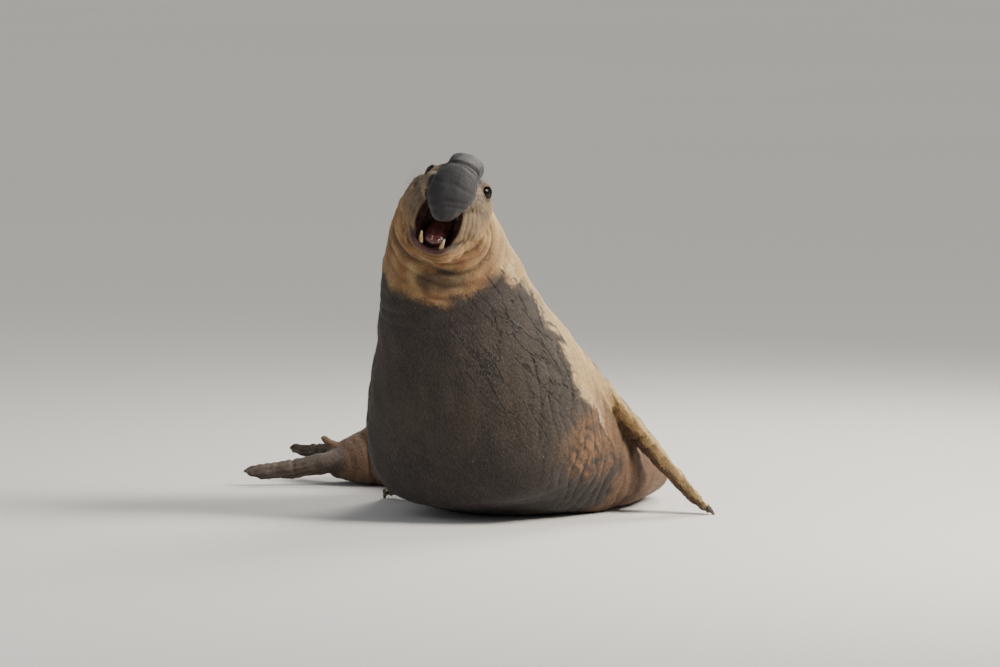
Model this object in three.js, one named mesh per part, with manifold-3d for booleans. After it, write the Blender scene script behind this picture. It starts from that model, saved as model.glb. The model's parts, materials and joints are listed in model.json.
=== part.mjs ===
// A bull southern elephant seal, life size, reared up on its chest and roaring.
// Millimetres, +Z up. The chest faces -Y, the animal's left is +X and the hindquarters curl round to its right.
// The model is made whole from lofted flesh and then parted by thin cuts, so that its pieces meet face to face.
import * as THREE from "three";
import { mergeVertices } from "three/addons/utils/BufferGeometryUtils.js";
import Module from "manifold-3d";

const wasm = await Module();
wasm.setup();

// Driving sizes
const GAP = 0.3; // clear width of every cut between two pieces
const CHEST = 660; // half the width of the chest at its widest
const EYE_LINE = new THREE.Vector3(-56, -508, 1884); // midway between the eyes
const HEAD_YAW = 21; // the head turns this far to the animal's left
const HEAD_PITCH = 28; // and this far up
const HEAD_ROLL = 23; // with its left side down
const JAW_OPEN = 64; // angle between the two jaws
const JAW_HINGE = new THREE.Vector3(0, 110, -170); // in the head's frame
const EYE_SPAN = 147; // from the head's middle to the centre of an eyeball
const EYE_RADIUS = 40;

// Where the trunk lies on the ground: straight back from the chest, round a bend to the right, then straight again
const TRUNK_START = new THREE.Vector2(-75, 430);
const STRAIGHT_RUN = 420;
const BEND_RADIUS = 720;
const BEND_ANGLE = 112;
const SLUMP = 0.38; // how much wider the trunk is low down, where its weight spreads it

const radians = THREE.MathUtils.degToRad;
const smooth = THREE.MathUtils.smoothstep;
const vector = (x, y, z) => new THREE.Vector3(x, y, z);
const curve = (points) => new THREE.CatmullRomCurve3(points, false, "catmullrom", 0.5);

// The head faces -Y in its own frame, whose origin is midway between the eyes
const headTurn = new THREE.Euler(-radians(HEAD_PITCH), radians(HEAD_ROLL), radians(HEAD_YAW), "ZXY");
const headFrame = new THREE.Matrix4().makeRotationFromEuler(headTurn).setPosition(EYE_LINE);
const headLeft = vector(1, 0, 0).transformDirection(headFrame);
const fromHead = (x, y, z) => vector(x, y, z).applyMatrix4(headFrame);

// A frame at the jaw's hinge, turned down from the head's own by an angle
function hingeFrame(angle) {
  const turn = new THREE.Matrix4().makeRotationX(radians(angle)).setPosition(JAW_HINGE);
  return headFrame.clone().multiply(turn);
}
const jawFrame = hingeFrame(JAW_OPEN);
const biteFrame = hingeFrame(JAW_OPEN / 2);

// A closed surface as a solid that can be joined and cut
function solid(geometry) {
  const bare = new THREE.BufferGeometry();
  const flat = geometry.index ? geometry.toNonIndexed() : geometry;
  bare.setAttribute("position", flat.getAttribute("position"));
  const merged = mergeVertices(bare, 1e-3);
  const vertProperties = new Float32Array(merged.getAttribute("position").array);
  const triVerts = new Uint32Array(merged.index.array);
  return new wasm.Manifold(new wasm.Mesh({ numProp: 3, vertProperties, triVerts }));
}

// A solid's surface as an indexed three.js geometry
function surface(made) {
  const mesh = made.getMesh();
  const geometry = new THREE.BufferGeometry();
  const place = new Float32Array(mesh.numVert * 3);
  for (let i = 0; i < mesh.numVert; i++) {
    place.set(mesh.vertProperties.subarray(i * mesh.numProp, i * mesh.numProp + 3), i * 3);
  }
  geometry.setAttribute("position", new THREE.BufferAttribute(place, 3));
  geometry.setIndex(new THREE.BufferAttribute(mesh.triVerts, 1));
  return geometry;
}

// The same solid with its skin moved out by the width of a cut
function grown(made) {
  const geometry = surface(made);
  geometry.computeVertexNormals();
  const place = geometry.getAttribute("position");
  const normal = geometry.getAttribute("normal");
  const p = vector(0, 0, 0);
  const n = vector(0, 0, 0);
  for (let i = 0; i < place.count; i++) {
    p.fromBufferAttribute(place, i).addScaledVector(n.fromBufferAttribute(normal, i), GAP);
    place.setXYZ(i, p.x, p.y, p.z);
  }
  geometry.deleteAttribute("normal");
  return solid(geometry);
}

const join = (pieces) => pieces.reduce((whole, piece) => whole.add(piece));
const less = (made, pieces) => pieces.reduce((left, piece) => left.subtract(piece), made);
const clearOf = (made, pieces) => largest(less(made, pieces.flatMap((piece) => [grown(piece), piece])));

// Clear of pieces with narrow folds, where a grown skin would cross itself: they are also cut away moved each way
function wellClearOf(made, pieces) {
  const moved = pieces.flatMap((piece) => {
    return [-GAP, GAP].flatMap((by) => [
      solid(surface(piece).translate(by, 0, 0)),
      solid(surface(piece).translate(0, by, 0)),
      solid(surface(piece).translate(0, 0, by)),
    ]);
  });
  return largest(less(made, [...pieces, ...moved]));
}
const largest = (made) => made.decompose().reduce((a, b) => (b.volume() > a.volume() ? b : a));

// Everything on the far side of a plane, as a block cut with its face on the plane
const BLOCK = 6000;
function beyond(point, normal, shift = 0) {
  const block = new THREE.BoxGeometry(BLOCK, BLOCK, BLOCK).translate(0, 0, BLOCK / 2 + shift);
  const turn = new THREE.Quaternion().setFromUnitVectors(vector(0, 0, 1), normal.clone().normalize());
  block.applyQuaternion(turn).translate(point.x, point.y, point.z);
  return solid(block);
}
const ground = beyond(vector(0, 0, 0), vector(0, 0, -1));

// A closed body along a spine. Each station has a place on the spine, its half sizes to the side, to the back and
// to the belly, how far its width sags to the belly, and a hint of which way the side lies. The poles of the ball
// that it is made from are the two ends.
function loft(stations, around, along, { frame = null, ends = [0.06, 0.06], fullness = 2 } = {}) {
  const spine = curve(stations.map((s) => s.at));
  const sizes = curve(stations.map((s) => vector(s.side, s.back, s.belly)));
  const sides = curve(stations.map((s) => s.left ?? vector(1, 0, 0)));
  const sags = curve(stations.map((s) => vector(s.sag ?? 0, 0, 0)));
  const ball = new THREE.SphereGeometry(1, around, along);
  const place = ball.getAttribute("position");
  for (let i = 0; i < place.count; i++) {
    const share = Math.acos(THREE.MathUtils.clamp(place.getY(i), -1, 1)) / Math.PI;
    const angle = Math.atan2(place.getZ(i), place.getX(i));
    const size = sizes.getPoint(share);
    const tangent = spine.getTangent(share);
    const left = sides.getPoint(share);
    left.addScaledVector(tangent, -left.dot(tangent)).normalize();
    const back = vector(0, 0, 0).crossVectors(tangent, left);
    const near = Math.min(share / ends[0], 1);
    const far = Math.min((1 - share) / ends[1], 1);
    const cap = Math.sqrt(near * (2 - near)) * Math.sqrt(far * (2 - far));
    const [c, s] = [Math.cos(angle), Math.sin(angle)];
    const full = (v) => Math.sign(v) * Math.abs(v) ** (2 / fullness);
    const across = size.x * full(c) * (1 - sags.getPoint(share).x * s) * cap;
    const high = (s > 0 ? size.y : size.z) * full(s) * cap;
    const p = spine.getPoint(share).addScaledVector(left, across).addScaledVector(back, high);
    place.setXYZ(i, p.x, p.y, p.z);
  }
  if (frame) ball.applyMatrix4(frame);
  return solid(ball);
}

// A rounded lump of flesh, given its centre, half sizes and frame
function lump(at, radii, around, along, frame = headFrame) {
  const ball = new THREE.SphereGeometry(1, around, along);
  ball.scale(radii.x, radii.y, radii.z).translate(at.x, at.y, at.z).applyMatrix4(frame);
  return solid(ball);
}

// The trunk's path on the ground, from a distance behind the chest, with the side that is the animal's left
function trunkStation(distance, height, side, back, belly, sag = SLUMP) {
  const bendLength = BEND_RADIUS * radians(BEND_ANGLE);
  const turned = THREE.MathUtils.clamp((distance - STRAIGHT_RUN) / bendLength, 0, 1) * radians(BEND_ANGLE);
  const before = Math.min(distance, STRAIGHT_RUN);
  const after = Math.max(distance - STRAIGHT_RUN - bendLength, 0);
  const x = TRUNK_START.x - BEND_RADIUS * (1 - Math.cos(turned)) - after * Math.sin(turned);
  const y = TRUNK_START.y + before + BEND_RADIUS * Math.sin(turned) + after * Math.cos(turned);
  const left = vector(Math.cos(turned), Math.sin(turned), 0);
  return { at: vector(x, y, height), side, back, belly, left, sag };
}

const ANKLES = 2340; // how far the ankles lie behind the chest along the trunk
const hindStations = [
  trunkStation(ANKLES + 40, 112, 95, 78, 74, 0),
  trunkStation(ANKLES - 50, 124, 150, 118, 108, 0.05),
  trunkStation(2160, 142, 212, 172, 152),
  trunkStation(1980, 172, 275, 232, 190),
  trunkStation(1720, 222, 362, 312, 252),
  trunkStation(1400, 275, 452, 392, 315),
  trunkStation(1040, 322, 548, 455, 372, 0.5),
  trunkStation(680, 362, 612, 500, 420, 0.62),
  trunkStation(320, 410, 636, 520, 475, 0.66),
  trunkStation(0, 480, CHEST - 10, 530, 560, 0.4),
];
const rearedStation = (x, y, z, side, back, belly, lean, sag = 0.12) => {
  return { at: vector(x, y, z), side, back, belly, sag, left: vector(1, 0, 0).lerp(headLeft, lean) };
};
const frontStations = [
  rearedStation(-105, 200, 670, CHEST - 15, 480, 790, 0, 0.34),
  rearedStation(-142, 40, 860, 598, 455, 680, 0.05, 0.2),
  rearedStation(-172, -70, 1070, 498, 400, 540, 0.15),
  rearedStation(-190, -165, 1285, 424, 345, 440, 0.35),
  rearedStation(-202, -255, 1490, 362, 300, 372, 0.6),
];
const headStation = (y, z, side, back, belly, x = 0, sag = 0.1) => {
  return { at: fromHead(x, y, z), side, back, belly, sag, left: headLeft };
};
const skullStations = [
  headStation(170, -85, 262, 212, 288, -12, 0.3),
  headStation(80, -48, 226, 158, 222, 0, 0.2),
  headStation(-10, -45, 192, 118, 170, 0, 0.25),
  headStation(-95, -58, 154, 108, 150, 0, 0.35),
  headStation(-170, -72, 148, 102, 138, 0, 0.3),
  headStation(-235, -82, 130, 88, 118, 0, 0.2),
];

// The torso from the ankles to the muzzle
const bodyStations = [...hindStations, ...frontStations, ...skullStations];
const body = loft(bodyStations, 36, 66, { ends: [0.03, 0.03], fullness: 2.15 });

// Lower jaw, with the rolls of skin that bunch up behind the lip
const jawStation = (y, z, side, back, belly) => ({ at: vector(0, y, z), side, back, belly });
const jaw = loft(
  [
    jawStation(90, -60, 230, 120, 190),
    jawStation(0, -58, 226, 95, 165),
    jawStation(-62, -50, 204, 80, 130),
    jawStation(-108, -46, 206, 74, 128),
    jawStation(-152, -42, 178, 66, 98),
    jawStation(-190, -38, 178, 64, 98),
    jawStation(-228, -32, 152, 58, 76),
    jawStation(-268, -26, 140, 54, 72),
    jawStation(-312, -20, 104, 46, 56),
  ],
  24,
  22,
  { frame: jawFrame, ends: [0.05, 0.08], fullness: 2.2 },
);

const bothSides = [1, -1];
const cheeks = lump(vector(-14, 80, -190), vector(236, 200, 210), 20, 14);
const lipPads = bothSides.map((side) => lump(vector(94 * side, -168, -142), vector(72, 122, 72), 14, 10));
const brows = bothSides.map((side) => lump(vector(114 * side, 8, 22), vector(62, 70, 44), 14, 10));
const lidBulges = bothSides.map((side) => lump(vector(EYE_SPAN * side, -2, 0), vector(51, 57, 52), 16, 10));

// The open mouth: a wedge that widens from the throat between the jaws, with a hollow palate and a hollow floor
const halfOpen = Math.tan(radians(JAW_OPEN / 2));
const gapeStations = [35, -70, -150, -230, -310, -400, -480].map((y, i) => {
  const half = Math.max(-y * halfOpen, 10) + 14;
  return { at: vector(0, y, 0), side: [40, 92, 112, 122, 140, 190, 230][i], back: half, belly: half };
});
const gape = loft(gapeStations, 18, 14, { frame: biteFrame, ends: [0.08, 0.04], fullness: 2.6 });
const jawFloor = lump(vector(0, -165, 22), vector(104, 146, 62), 16, 12, jawFrame);
const palate = lump(vector(0, -130, -182), vector(98, 160, 58), 16, 12);
const mouth = join([gape, jawFloor, palate]);

// Eyes: a ball in a socket, seen through an almond between the lids
const eyes = bothSides.map((side) => {
  const at = vector(EYE_SPAN * side, -2, 0);
  return lump(at, vector(EYE_RADIUS, EYE_RADIUS, EYE_RADIUS), 16, 10);
});
const lidOpenings = bothSides.map((side) => {
  const almond = new THREE.SphereGeometry(1, 14, 10).scale(44, 36, 29);
  almond.rotateZ(radians(-42 * side)).translate((EYE_SPAN + 31) * side, -31, 1);
  return solid(almond.applyMatrix4(headFrame));
});
const earHoles = bothSides.map((side) => lump(vector(228 * side, 118, -22), vector(22, 9, 9), 10, 8));

// The trunk-like nose: a hump on the bridge, a crease, and a heavy lobe that hangs over the mouth
const noseStation = (x, y, z, side, back, belly) => ({ at: vector(x, y, z), side, back, belly });
const noseWhole = loft(
  [
    noseStation(6, -50, 10, 84, 54, 60),
    noseStation(20, -125, 26, 97, 66, 85),
    noseStation(36, -200, 26, 104, 70, 112),
    noseStation(42, -262, -10, 88, 50, 132),
    noseStation(46, -302, -78, 102, 78, 140),
    noseStation(40, -320, -156, 124, 92, 125),
    noseStation(44, -310, -236, 128, 94, 98),
    noseStation(64, -292, -306, 96, 78, 70),
    noseStation(96, -276, -350, 56, 50, 44),
  ],
  24,
  22,
  { frame: headFrame, ends: [0.08, 0.1], fullness: 2.15 },
);
const nostrils = bothSides.map((side) => lump(vector(84 + 38 * side, -336, -366), vector(12, 30, 22), 12, 8));

const tongueWhole = loft(
  [
    { at: vector(0, 0, -14), side: 62, back: 30, belly: 40 },
    { at: vector(0, -90, -6), side: 62, back: 32, belly: 40 },
    { at: vector(0, -180, 0), side: 56, back: 26, belly: 40 },
    { at: vector(0, -245, 2), side: 38, back: 16, belly: 30 },
  ],
  12,
  10,
  { frame: jawFrame, ends: [0.1, 0.16] },
);

// A canine: a cone that leans and bends back a little
const CANINE_LENGTH = 92;
function canine(root, lean, frame) {
  const stations = [0, 0.35, 0.7, 1].map((share) => {
    const at = root.clone().addScaledVector(lean, share * CANINE_LENGTH).add(vector(0, 9 * share * share, 0));
    const radius = 16 * (1 - 0.72 * share);
    return { at, side: radius, back: radius * 1.15, belly: radius * 1.15 };
  });
  return loft(stations, 10, 8, { frame, ends: [0.1, 0.16] });
}

// A flipper: a blade along its leading edge, with the ridges of its five digits and a claw on each where asked
function flipper({ root, tip, chord, widths, depths, claws, sweep = 0 }, around, along) {
  const axis = tip.clone().sub(root);
  const across = chord.clone().addScaledVector(axis, -chord.dot(axis) / axis.lengthSq()).normalize();
  const steps = widths.length - 1;
  const stations = widths.map((width, i) => {
    const share = i / steps;
    const bow = sweep * Math.sin(Math.PI * share);
    const at = root.clone().addScaledVector(axis, share).addScaledVector(across, width + bow);
    return { at, side: width, back: depths[i], belly: depths[i], left: across };
  });
  const blade = loft(stations, around, along, { ends: [0.06, 0.13], fullness: 2.1 });
  const nails = claws.map(([share, over]) => {
    const length = axis.length();
    const forward = axis.clone().normalize();
    const at = root.clone().addScaledVector(axis, share).addScaledVector(across, over);
    const nail = [0, 0.5, 1].map((step) => {
      const radius = 0.018 * length * (1 - 0.7 * step);
      return { at: at.clone().addScaledVector(forward, 62 * step), side: radius, back: radius * 0.7, belly: radius * 0.7, left: across };
    });
    return loft(nail, 8, 6, { ends: [0.12, 0.2] });
  });
  return join([blade, ...nails]);
}

const foreWidths = [175, 172, 160, 142, 126, 112, 92, 58];
const foreDepths = [75, 66, 56, 44, 32, 24, 18, 12];
const foreClaws = [
  [0.955, 30],
  [0.925, 68],
  [0.885, 104],
  [0.835, 142],
  [0.775, 182],
];
const foreLeftWhole = flipper(
  {
    root: vector(385, 150, 945),
    tip: vector(1088, 536, 2),
    chord: vector(-0.59, 0.78, -0.2),
    widths: foreWidths,
    depths: foreDepths,
    claws: foreClaws,
  },
  24,
  22,
);
const foreRightWhole = flipper(
  {
    root: vector(-620, 160, 780),
    tip: vector(-990, 700, 2),
    chord: vector(0.62, 0.75, -0.25),
    widths: foreWidths,
    depths: foreDepths,
    claws: foreClaws,
  },
  24,
  22,
);

// Hind flippers held on edge, with the tail between them
const ankle = trunkStation(ANKLES - 60, 0, 0, 0, 0);
const rearward = vector(-ankle.left.y, ankle.left.x, 0);
const atAnkle = (back, left, height) => {
  return ankle.at.clone().addScaledVector(rearward, back).addScaledVector(ankle.left, left).setZ(height);
};
const hindWidths = [60, 64, 66, 64, 57, 45, 27];
const hindDepths = [62, 50, 36, 26, 20, 16, 11];
const hindRightWhole = flipper(
  {
    root: atAnkle(-40, -95, 216),
    tip: atAnkle(592, -150, 122),
    chord: vector(-0.12, -0.1, -1),
    widths: hindWidths,
    depths: hindDepths,
    claws: [],
  },
  22,
  18,
);
const hindLeftWhole = flipper(
  {
    root: atAnkle(-40, 95, 250),
    tip: atAnkle(320, 430, 200),
    chord: vector(0.1, 0.28, -1),
    widths: hindWidths,
    depths: hindDepths,
    claws: [],
  },
  22,
  18,
);
const tailWhole = loft(
  [
    { at: atAnkle(-70, 0, 175), side: 62, back: 30, belly: 34, left: ankle.left },
    { at: atAnkle(0, 0, 205), side: 55, back: 24, belly: 28, left: ankle.left },
    { at: atAnkle(70, 0, 245), side: 40, back: 17, belly: 20, left: ankle.left },
    { at: atAnkle(125, 0, 285), side: 20, back: 10, belly: 12, left: ankle.left },
  ],
  12,
  10,
  { ends: [0.1, 0.16] },
);

// The whole torso and head, cut by the floor, the mouth, the eyes and the ears
const eyeSockets = eyes.flatMap((eye) => [grown(eye), eye]);
const whole = less(join([body, jaw, cheeks, ...lipPads, ...brows, ...lidBulges]), [
  mouth,
  ground,
  ...lidOpenings,
  ...eyeSockets,
  ...earHoles,
]);

// Where the torso is parted: a place along the stations, and the plane square to the spine there
const bodySpine = curve(bodyStations.map((s) => s.at));
function plane(index) {
  const share = index / (bodyStations.length - 1);
  return { point: bodySpine.getPoint(share), normal: bodySpine.getTangent(share) };
}
const cuts = { loin: plane(5.5), girdle: plane(8.6), neckBase: plane(12.2), nape: plane(14.35) };
const ahead = (cut) => beyond(cut.point, cut.normal, GAP / 2);
const behind = (cut) => beyond(cut.point, cut.normal.clone().negate(), GAP / 2);
const between = (low, high) => largest(whole.intersect(ahead(low)).intersect(behind(high)));

// The jaw is what lies under the bite plane and in front of the hinge
function jawBlock(extra) {
  const [width, length, depth] = [1200, 900, 900];
  const block = new THREE.BoxGeometry(width, length, depth).translate(0, extra - length / 2 - 20, extra - depth / 2);
  return solid(block.applyMatrix4(biteFrame));
}
const skull = whole.intersect(ahead(cuts.nape));
const lowerJaw = largest(skull.intersect(jawBlock(0)));
const head = largest(skull.subtract(jawBlock(GAP)));

const nodes = {
  head,
  lower_jaw: lowerJaw,
  neck: between(cuts.neckBase, cuts.nape),
  chest: between(cuts.girdle, cuts.neckBase),
  trunk: between(cuts.loin, cuts.girdle),
  hindquarters: largest(whole.intersect(behind(cuts.loin))),
  eye_left: eyes[0],
  eye_right: eyes[1],
};
nodes.proboscis = clearOf(less(noseWhole, nostrils), [nodes.head]);
nodes.tongue = wellClearOf(tongueWhole, [nodes.lower_jaw, nodes.head]);
bothSides.forEach((side) => {
  const name = side > 0 ? "left" : "right";
  const lower = canine(vector(58 * side, -232, -34), vector(0.1 * side, -0.08, 1).normalize(), jawFrame);
  const upper = canine(vector(56 * side, -190, -150), vector(0.06 * side, -0.1, -1).normalize(), headFrame);
  nodes["lower_canine_" + name] = clearOf(lower, [nodes.lower_jaw]);
  nodes["upper_canine_" + name] = clearOf(upper, [nodes.head, nodes.proboscis]);
});
const flanks = [nodes.chest, nodes.trunk, nodes.neck];
nodes.fore_flipper_left = clearOf(foreLeftWhole.subtract(ground), flanks);
nodes.fore_flipper_right = clearOf(foreRightWhole.subtract(ground), flanks);
nodes.tail = clearOf(tailWhole, [nodes.hindquarters]);
const rear = [nodes.hindquarters, nodes.tail];
nodes.hind_flipper_right = clearOf(hindRightWhole.subtract(ground), rear);
nodes.hind_flipper_left = clearOf(hindLeftWhole.subtract(ground), [...rear, nodes.hind_flipper_right]);

// Colours of the dry coat, the bare skin, the eyes and the teeth
const finishes = {
  coat: new THREE.MeshStandardMaterial({ color: 0xa8875c, roughness: 0.85, metalness: 0 }),
  shield: new THREE.MeshStandardMaterial({ color: 0x5a5049, roughness: 0.8, metalness: 0 }),
  nose: new THREE.MeshStandardMaterial({ color: 0x3a3838, roughness: 0.6, metalness: 0 }),
  flesh: new THREE.MeshStandardMaterial({ color: 0x9a4f4c, roughness: 0.4, metalness: 0 }),
  eye: new THREE.MeshStandardMaterial({ color: 0x100d0c, roughness: 0.1, metalness: 0 }),
  tooth: new THREE.MeshStandardMaterial({ color: 0xd8caa4, roughness: 0.4, metalness: 0 }),
};
function finishOf(name) {
  if (name.startsWith("eye")) return finishes.eye;
  if (name.includes("canine")) return finishes.tooth;
  if (name === "tongue") return finishes.flesh;
  if (name === "proboscis") return finishes.nose;
  return name === "chest" ? finishes.shield : finishes.coat;
}

const seal = new THREE.Group();
for (const [name, made] of Object.entries(nodes)) {
  const mesh = new THREE.Mesh(surface(made), finishOf(name));
  mesh.name = name;
  seal.add(mesh);
}

// The origin goes on the floor under the middle of the whole animal
const box = new THREE.Box3().setFromObject(seal);
const middle = box.getCenter(vector(0, 0, 0));
seal.position.set(-middle.x, -middle.y, -box.min.z);

export default seal;
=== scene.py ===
"""A bull southern elephant seal, life size, reared up on its chest and roaring, as a museum shows one.

One skin covers the flesh. The eyes, teeth, tongue, claws, whiskers and the tufts of the short coat are
pieces of their own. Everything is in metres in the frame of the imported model.
"""
import json
import logging
import math
from dataclasses import dataclass, field
from enum import Enum

import bmesh
import bpy
import numpy as np
from mathutils import Matrix, Vector
from mathutils.bvhtree import BVHTree

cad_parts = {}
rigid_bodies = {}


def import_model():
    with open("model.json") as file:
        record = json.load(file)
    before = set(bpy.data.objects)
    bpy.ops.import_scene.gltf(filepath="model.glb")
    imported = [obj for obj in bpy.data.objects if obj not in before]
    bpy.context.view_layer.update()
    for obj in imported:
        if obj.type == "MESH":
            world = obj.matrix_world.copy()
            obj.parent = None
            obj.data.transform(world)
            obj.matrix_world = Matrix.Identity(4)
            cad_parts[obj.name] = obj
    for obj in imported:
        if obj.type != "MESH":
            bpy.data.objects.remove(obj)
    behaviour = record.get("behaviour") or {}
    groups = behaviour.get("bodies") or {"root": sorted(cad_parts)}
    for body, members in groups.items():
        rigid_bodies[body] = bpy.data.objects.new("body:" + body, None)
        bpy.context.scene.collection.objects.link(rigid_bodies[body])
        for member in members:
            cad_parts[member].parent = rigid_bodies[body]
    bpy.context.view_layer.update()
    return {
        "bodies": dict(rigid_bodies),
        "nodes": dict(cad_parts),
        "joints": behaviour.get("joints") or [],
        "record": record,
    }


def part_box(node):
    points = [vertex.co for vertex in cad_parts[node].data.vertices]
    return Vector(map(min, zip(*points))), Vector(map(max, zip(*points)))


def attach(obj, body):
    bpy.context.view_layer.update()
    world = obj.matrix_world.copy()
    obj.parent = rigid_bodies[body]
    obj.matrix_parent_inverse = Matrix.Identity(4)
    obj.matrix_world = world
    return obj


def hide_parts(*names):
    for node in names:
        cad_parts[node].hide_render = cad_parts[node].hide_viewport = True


LOG = logging.getLogger("seal")
BODY = "root"
FLESH = (
    "head", "lower_jaw", "neck", "chest", "trunk", "hindquarters", "tail", "proboscis",
    "fore_flipper_left", "fore_flipper_right", "hind_flipper_left", "hind_flipper_right",
)
TEETH = ("lower_canine_left", "lower_canine_right", "upper_canine_left", "upper_canine_right")
FLOOR_GAP = 0.0005

# Sizes of the animal, in metres and degrees, before its origin is moved under its middle
EYE_LINE = (-0.056, -0.508, 1.884)
HEAD_YAW, HEAD_PITCH, HEAD_ROLL = 21.0, 28.0, 23.0
JAW_OPEN = 64.0
JAW_HINGE = (0.0, 0.110, -0.170)
EYE_SPAN = 0.147
TRUNK_START = (-0.075, 0.430)
STRAIGHT_RUN = 0.420
BEND_RADIUS = 0.720
BEND_ANGLE = math.radians(112.0)
ANKLES = 2.340
TRUNK_STATIONS = (ANKLES + 0.04, ANKLES - 0.05, 2.16, 1.98, 1.72, 1.40, 1.04, 0.68, 0.32, 0.0)
TRUNK_HEIGHTS = (0.112, 0.124, 0.142, 0.172, 0.222, 0.275, 0.322, 0.362, 0.410, 0.480)
REARED = (
    (-0.091, 0.200, 0.670), (-0.128, 0.040, 0.860), (-0.172, -0.070, 1.070),
    (-0.190, -0.165, 1.285), (-0.202, -0.255, 1.490),
)
REARED_LEAN = (0.0, 0.05, 0.15, 0.35, 0.6)
SKULL = (
    (0.170, -0.085), (0.080, -0.048), (-0.010, -0.045), (-0.095, -0.058), (-0.170, -0.072), (-0.235, -0.082),
)
NOSE = (
    (0.006, -0.050, 0.010), (0.020, -0.125, 0.026), (0.036, -0.200, 0.026), (0.042, -0.262, -0.010),
    (0.046, -0.302, -0.078), (0.040, -0.320, -0.156), (0.044, -0.310, -0.236), (0.064, -0.292, -0.306),
    (0.096, -0.276, -0.350),
)


class CoatPart(Enum):
    """The pieces of the coat, each with the first and last station of the body's axis that it covers."""

    FRONT = ("coat_front", 10.3, 99.0)
    MIDDLE = ("coat_middle", 6.2, 10.3)
    REAR = ("coat_rear", -9.0, 6.2)


def linear(code: str) -> tuple[float, float, float]:
    """Turns a colour written as on screen into the values that a shader reads.

    Args:
        code: Six hexadecimal digits.

    Returns:
        Red, green and blue in linear light.
    """
    parts = [int(code[i:i + 2], 16) / 255 for i in (0, 2, 4)]
    red, green, blue = (c / 12.92 if c < 0.04045 else ((c + 0.055) / 1.055) ** 2.4 for c in parts)
    return red, green, blue


@dataclass(frozen=True)
class Palette:
    """The colours of the hide, dry, in soft light. The shield's colour, the mouth's flesh and the darkest
    grey-brown also carry painted shade.
    """

    cream: tuple[float, float, float] = linear("b5986a")
    tan: tuple[float, float, float] = linear("86694a")
    face: tuple[float, float, float] = linear("7f705b")
    ochre: tuple[float, float, float] = linear("7f5b3a")
    brown: tuple[float, float, float] = linear("5c4330")
    # The chest shield's own dark hide, darkened further as painted shade
    shield: tuple[float, float, float] = linear("2d2826")
    slate: tuple[float, float, float] = linear("1f2127")
    lip: tuple[float, float, float] = linear("3d3634")
    # The mouth's flesh, darkened as painted shade for the inside of the open mouth
    flesh: tuple[float, float, float] = linear("42211f")
    rump: tuple[float, float, float] = linear("5d534b")
    # Dark grey-brown of the hind flippers, eye rims and flipper spots, also used as painted shadow in the
    # throat's hollow under the jaw
    dark_hide_and_shade: tuple[float, float, float] = linear("2f2723")


COLOURS = Palette()


def smooth(low: float, high: float, value: np.ndarray) -> np.ndarray:
    """Eases from 0 at low to 1 at high."""
    share = np.clip((value - low) / (high - low), 0.0, 1.0)
    return share * share * (3.0 - 2.0 * share)


def band(low: float, high: float, soft: float, value: np.ndarray) -> np.ndarray:
    """Is 1 between two limits and eases to 0 outside them."""
    return smooth(low - soft, low, value) * (1.0 - smooth(high, high + soft, value))


def groove(value: np.ndarray, centre: float, width: float) -> np.ndarray:
    """Is 1 in the bed of a groove and falls to 0 beside it."""
    return np.exp(-(((value - centre) / width) ** 2))


def ripple(points: np.ndarray, wavelength: float, seed: int) -> np.ndarray:
    """Gives an uneven wave that is the same on every run.

    Args:
        points: Places, one row each.
        wavelength: Rough distance from crest to crest.
        seed: Picks one of many such waves.

    Returns:
        Values of about -1 to 1.
    """
    chance = np.random.default_rng(seed)
    total = np.zeros(len(points))
    for _ in range(7):
        heading = chance.normal(size=3)
        heading *= 2 * math.pi / (wavelength * np.linalg.norm(heading)) * chance.uniform(0.7, 1.5)
        total += np.sin(points @ heading + chance.uniform(0, 6.28))
    return total / 2.6


def catmull(points: np.ndarray, count: int) -> np.ndarray:
    """Runs a smooth curve through points, evenly by station.

    Args:
        points: The points, one row each.
        count: How many samples to return.

    Returns:
        The samples, one row each.
    """
    ends = np.vstack([2 * points[0] - points[1], points, 2 * points[-1] - points[-2]])
    where = np.linspace(0, len(points) - 1, count)
    first = np.minimum(where.astype(int), len(points) - 2)
    t = (where - first)[:, None]
    a, b, c, d = (ends[first + step] for step in range(4))
    return b + 0.5 * t * (c - a + t * (2 * a - 5 * b + 4 * c - d + t * (3 * (b - c) + d - a)))


@dataclass
class Place:
    """A frame of its own for a part of the body.

    Attributes:
        origin: Where its origin lies.
        turn: Its axes, as the columns of a matrix.
    """

    origin: np.ndarray
    turn: np.ndarray

    def local(self, points: np.ndarray) -> np.ndarray:
        """Gives points of the model's frame in this frame."""
        return (points - self.origin) @ self.turn

    def world(self, points: np.ndarray) -> np.ndarray:
        """Gives points of this frame in the model's frame."""
        return np.asarray(points) @ self.turn.T + self.origin

    def hinged(self, at: tuple[float, float, float], angle: float) -> "Place":
        """Makes a frame that hangs on this one, turned down by degrees about its side axis."""
        down = np.array(Matrix.Rotation(math.radians(angle), 3, "X"))
        return Place(self.world(np.array([at]))[0], self.turn @ down)


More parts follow.
